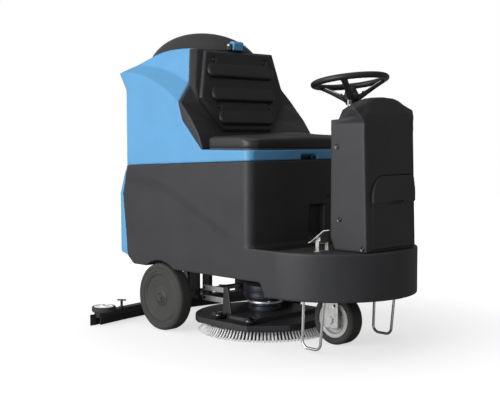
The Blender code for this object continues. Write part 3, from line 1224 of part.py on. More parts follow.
def squeegee_body():
    """The cast bar that holds the blades, with its suction port, pivot boss and roller arms."""
    bar = squeegee_strip("squeegee_body", 0, SQUEEGEE_BAR, SQUEEGEE_HALF, BAR_BOTTOM_Z, SQUEEGEE_TOP_Z)
    root = SQUEEGEE_TOP_Z - 0.004
    for sign in (-1, 1):
        slot = squeegee_strip("blade_slot", sign * (SQUEEGEE_BAR / 2 - BLADE_IN), BLADE_THICK + 4 * GAP,
                              SQUEEGEE_HALF + 0.01, BAR_BOTTOM_Z - 0.02, BLADE_TOP_Z + GAP)
        cut(bar, slot)
        x, y = roller_place(sign)
        join(bar, drum("roller_post", (x, y, root), (x, y, ROLLER_TOP_Z + 0.004), ROLLER_PIN_R, 16))
    join(bar, drum("suction_port", (SQUEEGEE_MID_X, 0, root), (SQUEEGEE_MID_X, 0, 0.135), SUCTION_R, 28))
    cut(bar, drum("suction_bore", (SQUEEGEE_MID_X, 0, -0.1), (SQUEEGEE_MID_X, 0, 0.2), 0.0105, 24))
    x = SQUEEGEE_SWING_X
    join(bar, box("boss_plate", (SQUEEGEE_MID_X + 0.002, -0.045, BLADE_TOP_Z + 0.001),
                  (x + 0.03, 0.045, SQUEEGEE_TOP_Z)))
    join(bar, drum("swing_pin", (x, 0, root), (x, 0, 0.108), SWING_PIN_R, 20))
    return place(bar, PARTS, "dark_steel")


def roller_place(sign):
    return squeegee_x(ROLLER_Y) + ROLLER_AHEAD, sign * ROLLER_Y


def squeegee_blade(name, sign, low):
    """A blade in its slot; the rear one reaches past the bar's ends."""
    half = SQUEEGEE_HALF + (0.026 if sign < 0 else -0.01)
    strip = squeegee_strip(name, sign * (SQUEEGEE_BAR / 2 - BLADE_IN), BLADE_THICK, half, low, BLADE_TOP_Z)
    return place(strip, PARTS, "blade_rubber")


def roller(side):
    """A bumper wheel lying flat on the bar's end."""
    x, y = roller_place(mirrored(side))
    low, bore = SQUEEGEE_TOP_Z + GAP * 2, ROLLER_PIN_R + PLAY
    high = low + ROLLER_HEIGHT - 0.008
    profile = [(bore, high - 0.003), (0.04, high - 0.003), (0.043, high), (ROLLER_R - 0.004, high),
               (ROLLER_R, high - 0.005), (ROLLER_R, low + 0.005), (ROLLER_R - 0.004, low), (bore, low)]
    return place(turned("roller_" + side, profile, (x, y, 0), sides=28), PARTS, "grey_rubber")


def squeegee_knob(side):
    """A T-handled knob that clamps the blades."""
    y = mirrored(side) * T_KNOB_Y
    x = squeegee_x(y)
    low = SQUEEGEE_TOP_Z + GAP
    top = Vector((x, y, low + 0.034))
    half_bar = Vector((0.018, 0.012, 0))
    knob = drum("squeegee_knob_" + side, (x, y, low), top, 0.006, 14)
    join(knob, rod("bar", [top - half_bar, top, top + half_bar], 0.0045, 2))
    join(knob, drum("washer", (x, y, low), (x, y, low + 0.005), 0.013, 18))
    return place(knob, PARTS, "knob_plastic")


def squeegee_arm():
    """The lifting arm, from the chassis ears down to the squeegee's swing pin."""
    x, z = SQUEEGEE_PIVOT_X, SQUEEGEE_PIVOT_Z
    end = SQUEEGEE_SWING_X
    low = SQUEEGEE_TOP_Z + GAP * 2
    outline = arc(x, z, 0.018, -30, 150, 8) + [(end - 0.01, 0.105), (end - 0.022, 0.1), (end - 0.022, low),
                                               (end + 0.026, low), (end + 0.03, low + 0.02)]
    arm = plate("squeegee_arm", outline, "XZ", -LIFT_ARM_HALF, LIFT_ARM_HALF)
    cut(arm, drum("lift_hole", (x, -1, z), (x, 1, z), LIFT_PIN_R + PLAY, 20))
    cut(arm, drum("swing_hole", (end, 0, 0), (end, 0, 0.5), SWING_PIN_R + PLAY, 20))
    return place(arm, PARTS, "dark_steel")


# ---- Assembly ------------------------------------------------------------------------------------
def build():
    clear_scene()
    chassis_frame()
    solution_tank()
    rear_cover()
    battery("battery_front", 0)
    battery("battery_rear", 1)
    vacuum_motor()
    footplate()
    rubber_mat()
    column_shell()
    control_head()
    steering_box()
    rear_axle()
    pedal_bracket()
    tank_hinge()
    guard_loop("r")
    guard_loop("l")

    for side in "rl":
        hub = (REAR_AXLE_X, mirrored(side) * (HALF - REAR_WHEEL_WIDTH / 2), REAR_WHEEL_R)
        body("rear_wheel_" + side, hub, rear_wheel(side))
    fork = body("fork", (FRONT_WHEEL_X, 0, FRONT_WHEEL_R), [drive_fork(), drive_axle(), drive_motor()])
    body("front_wheel", (FRONT_WHEEL_X, 0, FRONT_WHEEL_R), front_wheel(), fork)
    body("steering_wheel", STEER_CENTRE, [steering_rim(), steering_hub(), steering_shaft()])
    body("column_shaft", (COLUMN_SHAFT_X, 0, RIM_Z), [column_shaft()])
    body("pedal", PEDAL_PIVOT, [pedal_plate()])
    body("key", key_place(0), [key_switch()])
    body("horn", horn_place(0), [horn_button()])
    body("hatch", (COLUMN_FRONT_X, 0, HATCH_Z[0]), [front_hatch()])

    tank = body("recovery", (TANK_HINGE_X, 0, SPLIT_REAR_Z),
                [recovery_tank(), backrest_shell(), backrest_pad(), seat_cushion()])
    dome = body("lid", LID_HINGE, [lid()], tank)
    body("latch", latch_centre(), [lid_latch()], dome)

    for side in "rl":
        at = (HANGER_X, mirrored(side) * LINK_Y, LINK_HIGH_Z)
        body("upper_link_" + side, at, [link("upper_link", side, LINK_HIGH_Z, OPEN_PIVOT_PLAY)])
    lower_links = [link("lower_link", side, LINK_LOW_Z, PLAY) for side in "rl"]
    lower = body("lower_links", (HANGER_X, 0, LINK_LOW_Z), lower_links)
    knobs = [deck_knob(side, index) for side in "rl" for index in (0, 1)]
    deck = body("deck", (HANGER_X + LINK_LENGTH, 0, LINK_LOW_Z), [deck_plate(), brush_motor()] + knobs, lower)
    body("brush", (BRUSH_X, 0, BRISTLE_TOP_Z), [brush_disc(), bristle_ring()], deck)

    arm = body("squeegee_arm", (SQUEEGEE_PIVOT_X, 0, SQUEEGEE_PIVOT_Z), [squeegee_arm()])
    blades = [squeegee_blade("blade_front", 1, 0.004), squeegee_blade("blade_rear", -1, 0.0015)]
    bar = body("squeegee", (SQUEEGEE_SWING_X, 0, SQUEEGEE_TOP_Z), [squeegee_body()] + blades, arm)
    for side in "rl":
        sign = mirrored(side)
        body("roller_" + side, (*roller_place(sign), ROLLER_TOP_Z), [roller(side)], bar)
        knob_at = (squeegee_x(T_KNOB_Y), sign * T_KNOB_Y, SQUEEGEE_TOP_Z)
        body("squeegee_knob_" + side, knob_at, [squeegee_knob(side)], bar)


build()
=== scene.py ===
import math

import bmesh
import bpy
import numpy as np
from mathutils import Matrix, Vector

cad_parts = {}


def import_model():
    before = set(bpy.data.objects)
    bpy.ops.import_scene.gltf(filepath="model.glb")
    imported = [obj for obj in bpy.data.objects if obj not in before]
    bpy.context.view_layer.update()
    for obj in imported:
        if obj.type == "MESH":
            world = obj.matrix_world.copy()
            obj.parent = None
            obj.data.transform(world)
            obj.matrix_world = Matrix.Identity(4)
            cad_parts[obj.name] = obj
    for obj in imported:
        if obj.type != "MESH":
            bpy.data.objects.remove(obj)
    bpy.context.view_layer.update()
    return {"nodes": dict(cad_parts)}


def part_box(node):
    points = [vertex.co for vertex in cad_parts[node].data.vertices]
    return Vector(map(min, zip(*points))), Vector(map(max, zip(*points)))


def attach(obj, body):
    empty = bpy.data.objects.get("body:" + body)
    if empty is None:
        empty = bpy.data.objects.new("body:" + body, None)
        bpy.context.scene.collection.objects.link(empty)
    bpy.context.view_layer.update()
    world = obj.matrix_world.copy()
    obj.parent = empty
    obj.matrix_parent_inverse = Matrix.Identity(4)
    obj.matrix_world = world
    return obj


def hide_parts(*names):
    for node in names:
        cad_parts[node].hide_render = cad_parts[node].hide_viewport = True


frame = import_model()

NODES = frame["nodes"]
Y, Z = Vector((0, 1, 0)), Vector((0, 0, 1))


# ---- Places, all from the CAD frame ----------------------------------------------------------------
def middle(node):
    low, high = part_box(node)
    return (low + high) / 2


TANK_LOW, TANK_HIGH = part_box("solution_tank")
COLUMN_LOW, COLUMN_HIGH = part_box("column_shell")
HALF = TANK_HIGH.y
TANK_FRONT = TANK_HIGH.x
TANK_LENGTH = 0.817
TANK_REAR = TANK_FRONT - TANK_LENGTH
COLUMN_FRONT = COLUMN_HIGH.x
COLUMN_HALF = COLUMN_HIGH.y
NOSE_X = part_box("footplate")[1].x - HALF
RIM_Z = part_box("footplate")[1].z
MAT_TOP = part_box("rubber_mat")[1].z
SEAT_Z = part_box("seat_cushion")[0].z
DOME_CENTRE = Vector((TANK_REAR + 0.137, 0, 1.17))
PAD_FOOT = (TANK_FRONT - 0.372, 0.887)
PAD_TOP = (TANK_FRONT - 0.442, 1.28)
PAD_THICK = 0.018
DOME_FLAT = PAD_TOP[0] - PAD_THICK - 0.012
SCOOP_INSET, SCOOP_TAPER, SCOOP_LEAN, SCOOP_CREST = 0.032, 0.151, 0.23, 1.17
FACE_FOOT, FACE_LEAN = 0.007, 0.032
STEER_TILT = math.radians(8.0)
STEER_CENTRE = Vector((0.465, 0, 1.1025))


# ---- Materials -------------------------------------------------------------------------------------
def surface(name, colour, rough, metallic=0.0, vary=0.1, grain=900.0, bump=0.12, edge=0.0, streak=0.0,
            speckle=None, coat=0.0, patches=6.0, gloss=0.5, glow=0.0):
    """A moulded or metal surface: broad tone changes, a fine grain, and lighter edges that are partly wear and partly
    painted highlight.
    """
    material = bpy.data.materials.new(name)
    material.use_nodes = True
    nodes, links = material.node_tree.nodes, material.node_tree.links
    shader = nodes["Principled BSDF"]
    shader.inputs["Metallic"].default_value = metallic
    shader.inputs["Specular IOR Level"].default_value = gloss
    shader.inputs["Coat Weight"].default_value = coat
    shader.inputs["Emission Strength"].default_value = glow
    shader.inputs["Coat Roughness"].default_value = 0.15
    place = nodes.new("ShaderNodeTexCoord").outputs["Object"]

    def noise(scale, detail=3.0, stretch=None):
        texture = nodes.new("ShaderNodeTexNoise")
        texture.inputs["Scale"].default_value = scale
        texture.inputs["Detail"].default_value = detail
        source = place
        if stretch:
            mapping = nodes.new("ShaderNodeMapping")
            mapping.inputs["Scale"].default_value = stretch
            links.new(source, mapping.inputs["Vector"])
            source = mapping.outputs["Vector"]
        links.new(source, texture.inputs["Vector"])
        return texture.outputs["Fac"]

    def blend(factor, first, second):
        mix = nodes.new("ShaderNodeMix")
        mix.data_type = "RGBA"
        for socket, value in zip((mix.inputs[0], mix.inputs[6], mix.inputs[7]), (factor, first, second)):
            if isinstance(value, (float, int)):
                socket.default_value = value
            elif isinstance(value, tuple):
                socket.default_value = (*value, 1.0)
            else:
                links.new(value, socket)
        return mix.outputs[2]

    def ramp(factor, low, high):
        scaled = nodes.new("ShaderNodeMapRange")
        scaled.inputs["From Min"].default_value = low
        scaled.inputs["From Max"].default_value = high
        links.new(factor, scaled.inputs["Value"])
        return scaled.outputs["Result"]

    light = tuple(min(1.0, c * (1 + vary)) for c in colour)
    dark = tuple(c * (1 - vary) for c in colour)
    base = blend(ramp(noise(patches, 4.0), 0.3, 0.7), dark, light)
    if streak:
        brushed = noise(60.0, 2.0, (1.0, 1.0, 30.0))
        base = blend(ramp(brushed, 0.3, 0.7), base, tuple(min(1.0, c * (1 + streak)) for c in colour))
    if speckle:
        dots = noise(speckle[1], 2.0)
        base = blend(ramp(dots, 0.56, 0.64), base, speckle[0])
    if edge:
        # Lighter edges from pointiness: partly wear, partly a painted highlight along the lit edges.
        point = nodes.new("ShaderNodeNewGeometry").outputs["Pointiness"]
        worn_and_lit_edge = blend(ramp(point, 0.515, 0.6), (0.0, 0.0, 0.0), (edge, edge, edge))
        base = blend(worn_and_lit_edge, base, tuple(min(1.0, c * 1.6 + 0.03) for c in colour))
    links.new(base, shader.inputs["Base Color"])
    rough_mix = nodes.new("ShaderNodeMapRange")
    rough_mix.inputs["To Min"].default_value = max(0.03, rough - 0.07)
    rough_mix.inputs["To Max"].default_value = min(1.0, rough + 0.07)
    links.new(noise(patches * 5, 4.0), rough_mix.inputs["Value"])
    links.new(rough_mix.outputs["Result"], shader.inputs["Roughness"])
    relief = nodes.new("ShaderNodeBump")
    relief.inputs["Strength"].default_value = bump
    relief.inputs["Distance"].default_value = 0.0006
    links.new(noise(grain, 2.0), relief.inputs["Height"])
    links.new(relief.outputs["Normal"], shader.inputs["Normal"])
    return material


# The edge values lighten edges: partly wear, partly painted highlight.
FINISH = {
    "blue_plastic": surface("blue_plastic", (0.10, 0.305, 0.545), 0.4, vary=0.05, edge=0.4, bump=0.1, gloss=0.35),
    "black_plastic": surface("black_plastic", (0.031, 0.0315, 0.034), 0.5, vary=0.1, edge=0.45, bump=0.2,
                             gloss=0.3),
    "soft_black": surface("soft_black", (0.012, 0.012, 0.013), 0.42, vary=0.12, edge=0.3, bump=0.2, gloss=0.4),
    "dark_steel": surface("dark_steel", (0.024, 0.024, 0.027), 0.5, vary=0.15, grain=300, bump=0.1, edge=0.3),
    "zinc_steel": surface("zinc_steel", (0.72, 0.72, 0.71), 0.36, 0.8, vary=0.16, patches=40, bump=0.05),
    "stainless": surface("stainless", (0.8, 0.8, 0.81), 0.25, 1.0, vary=0.06, streak=0.1, bump=0.04),
    "grey_rubber": surface("grey_rubber", (0.045, 0.045, 0.041), 0.75, vary=0.14, grain=500, bump=0.3,
                           edge=0.25, gloss=0.25),
    "grey_plastic": surface("grey_plastic", (0.043, 0.043, 0.042), 0.58, vary=0.1, edge=0.3, bump=0.15,
                            gloss=0.3),
    "aluminium_rim": surface("aluminium_rim", (0.45, 0.45, 0.45), 0.5, 0.4, vary=0.08, bump=0.1),
    "seat_vinyl": surface("seat_vinyl", (0.019, 0.019, 0.0195), 0.42, vary=0.12, grain=420, bump=0.35,
                          edge=0.2, gloss=0.4),
    "mat_rubber": surface("mat_rubber", (0.028, 0.027, 0.020), 0.85, vary=0.2, grain=260, bump=0.4,
                          speckle=((0.12, 0.115, 0.09), 420.0), gloss=0.3),
    # The glow of 0.07 is painted light, standing in for light passing through the nylon; the roller hubs share this
    # finish and glow too.
    "bristle_nylon": surface("bristle_nylon", (0.9, 0.9, 0.91), 0.5, vary=0.06, patches=60, bump=0.05, glow=0.07),
    "brush_block": surface("brush_block", (0.05, 0.05, 0.05), 0.6, vary=0.1),
    "blade_rubber": surface("blade_rubber", (0.03, 0.028, 0.025), 0.65, vary=0.15, bump=0.2, gloss=0.3),
    "knob_plastic": surface("knob_plastic", (0.008, 0.008, 0.009), 0.16, vary=0.1, coat=0.6, bump=0.03),
    "battery_case": surface("battery_case", (0.03, 0.03, 0.032), 0.5, vary=0.1, bump=0.15),
    "motor_metal": surface("motor_metal", (0.03, 0.034, 0.05), 0.4, 0.3, vary=0.15, patches=20, bump=0.1),
    "horn_red": surface("horn_red", (0.45, 0.03, 0.02), 0.35, vary=0.08, bump=0.05),
}

CAD_FINISH = {
    "blue_plastic": "recovery_tank rear_cover lid_latch",
    "black_plastic": "solution_tank footplate column_shell control_panel backrest_shell lid front_hatch "
                     "steering_rim steering_hub",
    "dark_steel": "chassis_frame deck_plate squeegee_arm squeegee_body",
    "zinc_steel": "rear_axle pedal_bracket pedal_plate tank_hinge drive_fork drive_axle steering_shaft "
                  "column_shaft upper_link_r upper_link_l lower_link_r lower_link_l key_switch",
    "stainless": "guard_loop_r guard_loop_l",
    "grey_rubber": "rear_tyre_r rear_tyre_l front_tyre roller_r roller_l",
    "grey_plastic": "rear_rim_r rear_rim_l",
    "aluminium_rim": "front_rim",
    "seat_vinyl": "seat_cushion backrest_pad",
    "mat_rubber": "rubber_mat",
    "bristle_nylon": "bristle_ring",
    "brush_block": "brush_disc",
    "blade_rubber": "blade_front blade_rear",
    "knob_plastic": "deck_knob_rear_r deck_knob_front_r deck_knob_rear_l deck_knob_front_l "
                    "squeegee_knob_r squeegee_knob_l",
    "battery_case": "battery_front battery_rear",
    "motor_metal": "vacuum_motor steering_box drive_motor brush_motor",
    "horn_red": "horn_button",
}
for slot, names in CAD_FINISH.items():
    for name in names.split():
        NODES[name].data.materials.clear()
        NODES[name].data.materials.append(FINISH[slot])


# ---- Mesh tools ------------------------------------------------------------------------------------
def from_bmesh(name, work):
    """A new object from the working mesh, with its faces turned outwards."""
    bmesh.ops.recalc_face_normals(work, faces=work.faces)
    mesh = bpy.data.meshes.new(name)
    work.to_mesh(mesh)
    work.free()
    obj = bpy.data.objects.new(name, mesh)
    bpy.context.scene.collection.objects.link(obj)
    return obj


def from_points(name, points, faces):
    work = bmesh.new()
    verts = [work.verts.new(p) for p in points]
    for face in faces:
        work.faces.new([verts[i] for i in face])
    return from_bmesh(name, work)


def rounded(corners, steps=6):
    """An outline from (u, v, radius) corners, each round one an arc that touches both of its sides."""
    points = []
    for i, (u, v, radius) in enumerate(corners):
        here = Vector((u, v))
        before = (Vector(corners[i - 1][:2]) - here).normalized()
        after = (Vector(corners[(i + 1) % len(corners)][:2]) - here).normalized()
        if radius <= 0:
            points.append((u, v))
            continue
        half = before.angle(after) / 2
        centre = here + (before + after).normalized() * (radius / math.sin(half))
        reach = radius / math.tan(half)
        first, last = here + before * reach - centre, here + after * reach - centre
        for k in range(steps + 1):
            turn = first.angle_signed(last) * k / steps
            points.append(tuple(centre + Matrix.Rotation(-turn, 2) @ first))
    return points


def arc(cu, cv, radius, start, end, steps):
    """Points on a circle's arc, in degrees, both ends included."""
    angles = [math.radians(start + (end - start) * i / steps) for i in range(steps + 1)]
    return [(cu + radius * math.cos(a), cv + radius * math.sin(a)) for a in angles]


LIFT = {"XY": lambda u, v, w: (u, v, w), "XZ": lambda u, v, w: (u, w, v), "YZ": lambda u, v, w: (w, u, v)}


def prism(name, outline, plane, low, high):
    """A flat outline extruded along its plane's normal."""
    lift, count = LIFT[plane], len(outline)
    points = [lift(u, v, w) for w in (low, high) for u, v in outline]
    faces = [list(range(count)), list(range(count, 2 * count))]
    faces += [(i, (i + 1) % count, count + (i + 1) % count, count + i) for i in range(count)]
    return from_points(name, points, faces)


def block(name, low, high):
    (x0, y0, z0), (x1, y1, z1) = low, high
    return prism(name, [(x0, y0), (x1, y0), (x1, y1), (x0, y1)], "XY", z0, z1)


def loft(name, rings):
    """A solid through closed rings of as many points each."""
    count = len(rings[0])
    points = [p for ring in rings for p in ring]
    faces = [list(range(count)), list(range(len(points) - count, len(points)))]
    for row in range(len(rings) - 1):
        for i in range(count):
            a, b = row * count + i, row * count + (i + 1) % count
            faces += [(a, b, b + count), (a, b + count, a + count)]
    return from_points(name, points, faces)


def turned(name, profile, centre, axis=Z, sides=96):
    """A profile of (radius, height) spun about the axis; a radius of 0 closes an end."""
    turn = Z.rotation_difference(Vector(axis)).to_matrix()
    points, rows = [], []
    for radius, height in profile:
        if radius < 1e-6:
            rows.append([len(points)] * sides)
            points.append(Vector((0, 0, height)))
        else:
            rows.append(list(range(len(points), len(points) + sides)))
            points += [Vector((radius * math.cos(math.tau * k / sides), radius * math.sin(math.tau * k / sides),
                               height)) for k in range(sides)]
    loop = min(r for r, _ in profile) > 1e-6
    faces = []
    for i in range(len(rows) if loop else len(rows) - 1):
        first, second = rows[i], rows[(i + 1) % len(rows)]
        for k in range(sides):
            face = dict.fromkeys((first[k], first[(k + 1) % sides], second[(k + 1) % sides], second[k]))
            faces.append(list(face))
    return from_points(name, [turn @ p + Vector(centre) for p in points], [f for f in faces if len(f) > 2])


def softened(profile, radius=0.002, steps=3):
    """A turned profile with its corners eased."""
    loop = min(r for r, _ in profile) > 1e-6
    ends = () if loop else (0, len(profile) - 1)
    corners = []
    for i, (r, h) in enumerate(profile):
        here, before, after = (Vector(p) for p in ((r, h), profile[i - 1], profile[(i + 1) % len(profile)]))
        shorter = min((here - before).length, (here - after).length)
        straight = shorter > 0 and abs(math.pi - (before - here).angle(after - here)) < 0.08
        ease = 0 if i in ends or r < 1e-6 or straight else min(radius, 0.3 * shorter)
        corners.append((r, h, ease))
    return rounded(corners, steps)


def tube(name, route, radius, sides=16):
    """A round rod along a route."""
    route = [Vector(p) for p in route]
    last = len(route) - 1
    points, up = [], None
    for i, here in enumerate(route):
        along = (route[min(i + 1, last)] - route[max(i - 1, 0)]).normalized()
        if up is None:
            up = along.orthogonal().normalized()
        up = (up - along * up.dot(along)).normalized()
        side = along.cross(up)
        points += [here + (up * math.cos(math.tau * k / sides) + side * math.sin(math.tau * k / sides)) * radius
                   for k in range(sides)]
    faces = [(a + k, a + (k + 1) % sides, a + sides + (k + 1) % sides, a + sides + k)
             for a in range(0, last * sides, sides) for k in range(sides)]
    faces += [list(range(sides)), list(range(last * sides, (last + 1) * sides))]
    return from_points(name, points, faces)


def bake(obj):
    """The object's mesh with its modifiers applied."""
    graph = bpy.context.evaluated_depsgraph_get()
    mesh = bpy.data.meshes.new_from_object(obj.evaluated_get(graph))
    obj.modifiers.clear()
    old, obj.data = obj.data, mesh
    bpy.data.meshes.remove(old)
    return obj


def boolean(obj, operation, *tools):
    for tool in tools:
        modifier = obj.modifiers.new("cut", "BOOLEAN")
        modifier.operation = operation
        modifier.solver = "EXACT"
        modifier.object = tool
        bake(obj)
        bpy.data.objects.remove(tool)
    return obj


def cut(obj, *tools):
    return boolean(obj, "DIFFERENCE", *tools)


def join(obj, *tools):
    """Puts other meshes in this one, loose."""
    work = bmesh.new()
    for each in (obj, *tools):
        work.from_mesh(each.data)
    work.to_mesh(obj.data)
    work.free()
    for tool in tools:
        bpy.data.objects.remove(tool)
    return obj


def moulded(obj, voxel=0.005, passes=8):
    """One soft-edged skin over everything in the mesh."""
    remesh = obj.modifiers.new("skin", "REMESH")
    remesh.mode = "VOXEL"
    remesh.voxel_size = voxel
    ease = obj.modifiers.new("ease", "SMOOTH")
    ease.factor = 0.5
    ease.iterations = passes
    return bake(obj)


def recast(node, name, voxel=0.005, passes=8, *extra):
    """A finer copy of a CAD node's shape, with eased edges."""
    work = bmesh.new()
    work.from_mesh(NODES[node].data)
    bmesh.ops.remove_doubles(work, verts=work.verts, dist=1e-5)
    copy = from_bmesh(name, work)
    return moulded(join(copy, *extra) if extra else copy, voxel, passes)


def piece(obj, body, slot, replaces=(), smooth=50, finish=None):
    """Gives a piece its finish and its body, and hides the CAD nodes that it stands for."""
    obj.data.materials.clear()
    obj.data.materials.append(FINISH[finish or slot])
    obj.data.shade_smooth()
    if smooth < 180:
        obj.data.set_sharp_from_angle(angle=math.radians(smooth))
    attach(obj, body)
    if replaces:
        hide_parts(*replaces)
    return obj


def vertices(obj):
    data = np.empty(len(obj.data.vertices) * 3)
    obj.data.vertices.foreach_get("co", data)
    return data.reshape(-1, 3)


def reshape(obj, points):
    obj.data.vertices.foreach_set("co", np.asarray(points, dtype=np.float32).ravel())
    obj.data.update()
    return obj


def smoothstep(value, low, high):
    share = np.clip((value - low) / (high - low), 0.0, 1.0)
    return share * share * (3 - 2 * share)


def spline(points, steps=8):
    """A smooth line through the points."""
    ends = [points[0], *points, points[-1]]
    line = []
    for a, b, c, d in zip(ends, ends[1:], ends[2:], ends[3:]):
        for k in range(steps):
            t = k / steps
            line.append(tuple(0.5 * (2 * q + (r - p) * t + (2 * p - 5 * q + 4 * r - s) * t * t
                                     + (3 * q - p - 3 * r + s) * t**3) for p, q, r, s in zip(a, b, c, d)))
    return line + [tuple(points[-1])]


def screw(name, centre, axis, body, radius=0.0105):
    """A dished washer with a socket-head screw in it."""
    profile = [(0, 0.0), (radius * 0.38, 0.0), (radius * 0.40, 0.004), (radius * 0.62, 0.0042),
               (radius * 0.7, 0.0015), (radius * 0.95, 0.0028), (radius, 0.0015), (radius, -0.004), (0, -0.004)]
    obj = turned(name, softened(profile, 0.0006, 2), centre, axis, 32)
    return piece(obj, body, "knob_plastic")


# ---- Body mouldings --------------------------------------------------------------------------------
def tank_plan(front, rear):
    """The tank from above, with its rounded corners."""
    return rounded([(rear, -HALF, 0.012), (front, -HALF, 0.035), (front, HALF, 0.035), (rear, HALF, 0.012)], 10)


def nose_plan(inset, rear):
    """The half-round platform from above."""
    radius = HALF - inset
    return [(rear, -radius)] + arc(NOSE_X, 0, radius, -90, 90, 72) + [(rear, radius)]


def main_body():
    """The black lower body: tank and driver's platform, moulded as one."""
    work = bmesh.new()
    for node in ("solution_tank", "footplate"):
        work.from_mesh(NODES[node].data)
    bmesh.ops.remove_doubles(work, verts=work.verts, dist=1e-5)
    obj = from_bmesh("main_body", work)
    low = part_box("footplate")[0].z
    nose = prism("skirt", nose_plan(0, TANK_FRONT - 0.036), "XY", TANK_LOW.z, RIM_Z)
    cut(nose, prism("inside", nose_plan(0.011, TANK_FRONT - 0.08), "XY", 0.0, 1.0))
    apron = prism("apron", nose_plan(0, TANK_FRONT + 0.09), "XY", low, TANK_LOW.z + 0.01)
    cut(apron, prism("inside", nose_plan(0.011, TANK_FRONT), "XY", 0.0, 1.0))
    lip = prism("lip", nose_plan(0, TANK_FRONT - 0.036), "XY", MAT_TOP - 0.02, RIM_Z)
    cut(lip, prism("inside", nose_plan(0.026, TANK_FRONT - 0.08), "XY", 0.0, 1.0))
    moulded(join(obj, nose, apron, lip), 0.0045, 6)
    points = vertices(obj)
    x, y, z = points.T
    # A faint hollow that sweeps down the tank's side towards the front.
    sweep = 0.70 - 0.24 * smoothstep(x, TANK_REAR, TANK_FRONT) ** 1.4
    below = smoothstep(sweep - z, -0.01, 0.05) * smoothstep(z, 0.33, 0.45) * smoothstep(-x, -TANK_FRONT, 0.0)
    points[:, 1] -= np.sign(y) * 0.004 * below * (np.abs(y) > HALF - 0.012) * (x < TANK_FRONT)
    piece(reshape(obj, points), "chassis", "black_plastic", ("solution_tank", "footplate"), 180)


def bucket_cutter(back):
    """Everything ahead of the seat bucket's rear surface."""
    # Height, side edge from the tank's front, inset of the flat back, inset of the side edge.
    levels = [(SEAT_Z, -0.293, 0.230, 0.0), (0.889, -0.362, 0.195, 0.0), (0.948, -0.421, 0.153, 0.0),
              (1.026, -0.447, 0.094, 0.0), (1.100, -0.459, 0.088, 0.070), (1.366, -0.491, 0.125, 0.1025)]
    rings = []
    for z, rear, flat_inset, inset in levels:
        side_x = TANK_FRONT + rear - back
        x = pad_x(min(z, 1.266)) - PAD_THICK - 0.03 - back
        flat, half = HALF - flat_inset, HALF - inset
        wide, front = HALF + 0.05, TANK_FRONT + 0.1
        rings.append([(side_x, -wide, z), (side_x, -half, z), (x, -flat, z), (x, flat, z), (side_x, half, z),
                      (side_x, wide, z), (front, wide, z), (front, -wide, z)])
    return loft("bucket", rings)


def pad_x(z):
    """Where the backrest pad's front lies at a height."""
    (x0, z0), (x1, z1) = PAD_FOOT, PAD_TOP
    return x0 + (x1 - x0) * (z - z0) / (z1 - z0)


def scoop_ring(centre_x, radius, crest_z):
    """One edge of the side scoop: an arc that falls forwards from its crest."""
    x0 = TANK_REAR + centre_x
    falling = [(x0 + radius * math.sin(a), crest_z - radius * (1 - math.cos(a)))
               for a in (math.radians(-9 + 54 * k / 48) for k in range(49))]
    return falling + [(TANK_FRONT - 0.217, 1.4), (TANK_REAR - 0.2, 1.4)]


def scoop(sign):
    """The wedge beside the upper tank, which narrows forwards and upwards above the scoop's band."""
    edge = scoop_ring(-0.042, 0.64, 1.171)
    outer = [(x, sign * (HALF + 0.05), z) for x, z in edge]
    low = [(x, sign * HALF, z) for x, z in edge]
    inner = [(x, sign * (HALF - SCOOP_INSET - SCOOP_TAPER * (x - TANK_REAR) - SCOOP_LEAN * (z - SCOOP_CREST)), z)
             for x, z in scoop_ring(0.008, 0.70, 1.205)]
    return loft("scoop", [outer, low, inner])


TANK_TOP = spline([(TANK_FRONT - 0.369, 1.266), (TANK_REAR + 0.257, 1.268), (TANK_REAR + 0.16, 1.255),
                   (TANK_REAR + 0.045, 1.213), (TANK_REAR - 0.053, 1.168)], 8)


def upper_tank():
    """The blue recovery tank with its scooped sides, open under the lid."""
    outline = [(TANK_REAR, 0.7433), (TANK_FRONT, 0.7773), (TANK_FRONT, SEAT_Z - 0.0003),
               (TANK_FRONT - 0.25, SEAT_Z - 0.0003), *TANK_TOP, (TANK_REAR - 0.002, 1.09)]
    obj = prism("upper_tank", outline, "XZ", -HALF - 0.01, HALF + 0.01)
    boolean(obj, "INTERSECT", prism("plan", tank_plan(TANK_FRONT, TANK_REAR - 0.1), "XY", 0.5, 1.5))
    mouth = [(DOME_CENTRE.x + (0.18 if math.cos(a) > 0 else 0.115) * math.cos(a), (HALF - 0.115) * math.sin(a))
             for a in (math.tau * k / 64 for k in range(64))]
    cut(obj, bucket_cutter(0.0005), scoop(-1), scoop(1), prism("mouth", mouth, "XY", 0.79, 1.5))
    cut(obj, block("grip", (TANK_FRONT - 0.03, -0.05, 0.76), (TANK_FRONT + 0.05, 0.05, 0.80)))
    moulded(obj, 0.0042, 5)
    piece(obj, "recovery", "blue_plastic", ("recovery_tank",), 180)
    # A black liner inside the grip notch: a dark sheet as painted shade for the notch's shaded inside.
    shade_liner = block("grip_shade_liner", (TANK_FRONT - 0.0305, -0.0505, 0.777), (TANK_FRONT - 0.003, 0.0505, 0.8005))
    cut(shade_liner, block("inside", (TANK_FRONT - 0.0295, -0.0495, 0.7), (TANK_FRONT + 0.01, 0.0495, 0.7995)))
    piece(shade_liner, "recovery", "black_plastic", smooth=30)


def dome(shrink):
    """An egg-shaped dome, made smaller by shrink for its inside."""
    work = bmesh.new()
    bmesh.ops.create_uvsphere(work, u_segments=128, v_segments=64, radius=1.0)
    front = (DOME_FLAT - DOME_CENTRE.x) / 0.832
    for vert in work.verts:
        vert.co.x = vert.co.x * ((front if vert.co.x > 0 else 0.185) - shrink) + DOME_CENTRE.x
        vert.co.y *= HALF - 0.055 - shrink
        vert.co.z = vert.co.z * (0.195 - shrink) + DOME_CENTRE.z
    return from_bmesh("dome", work)


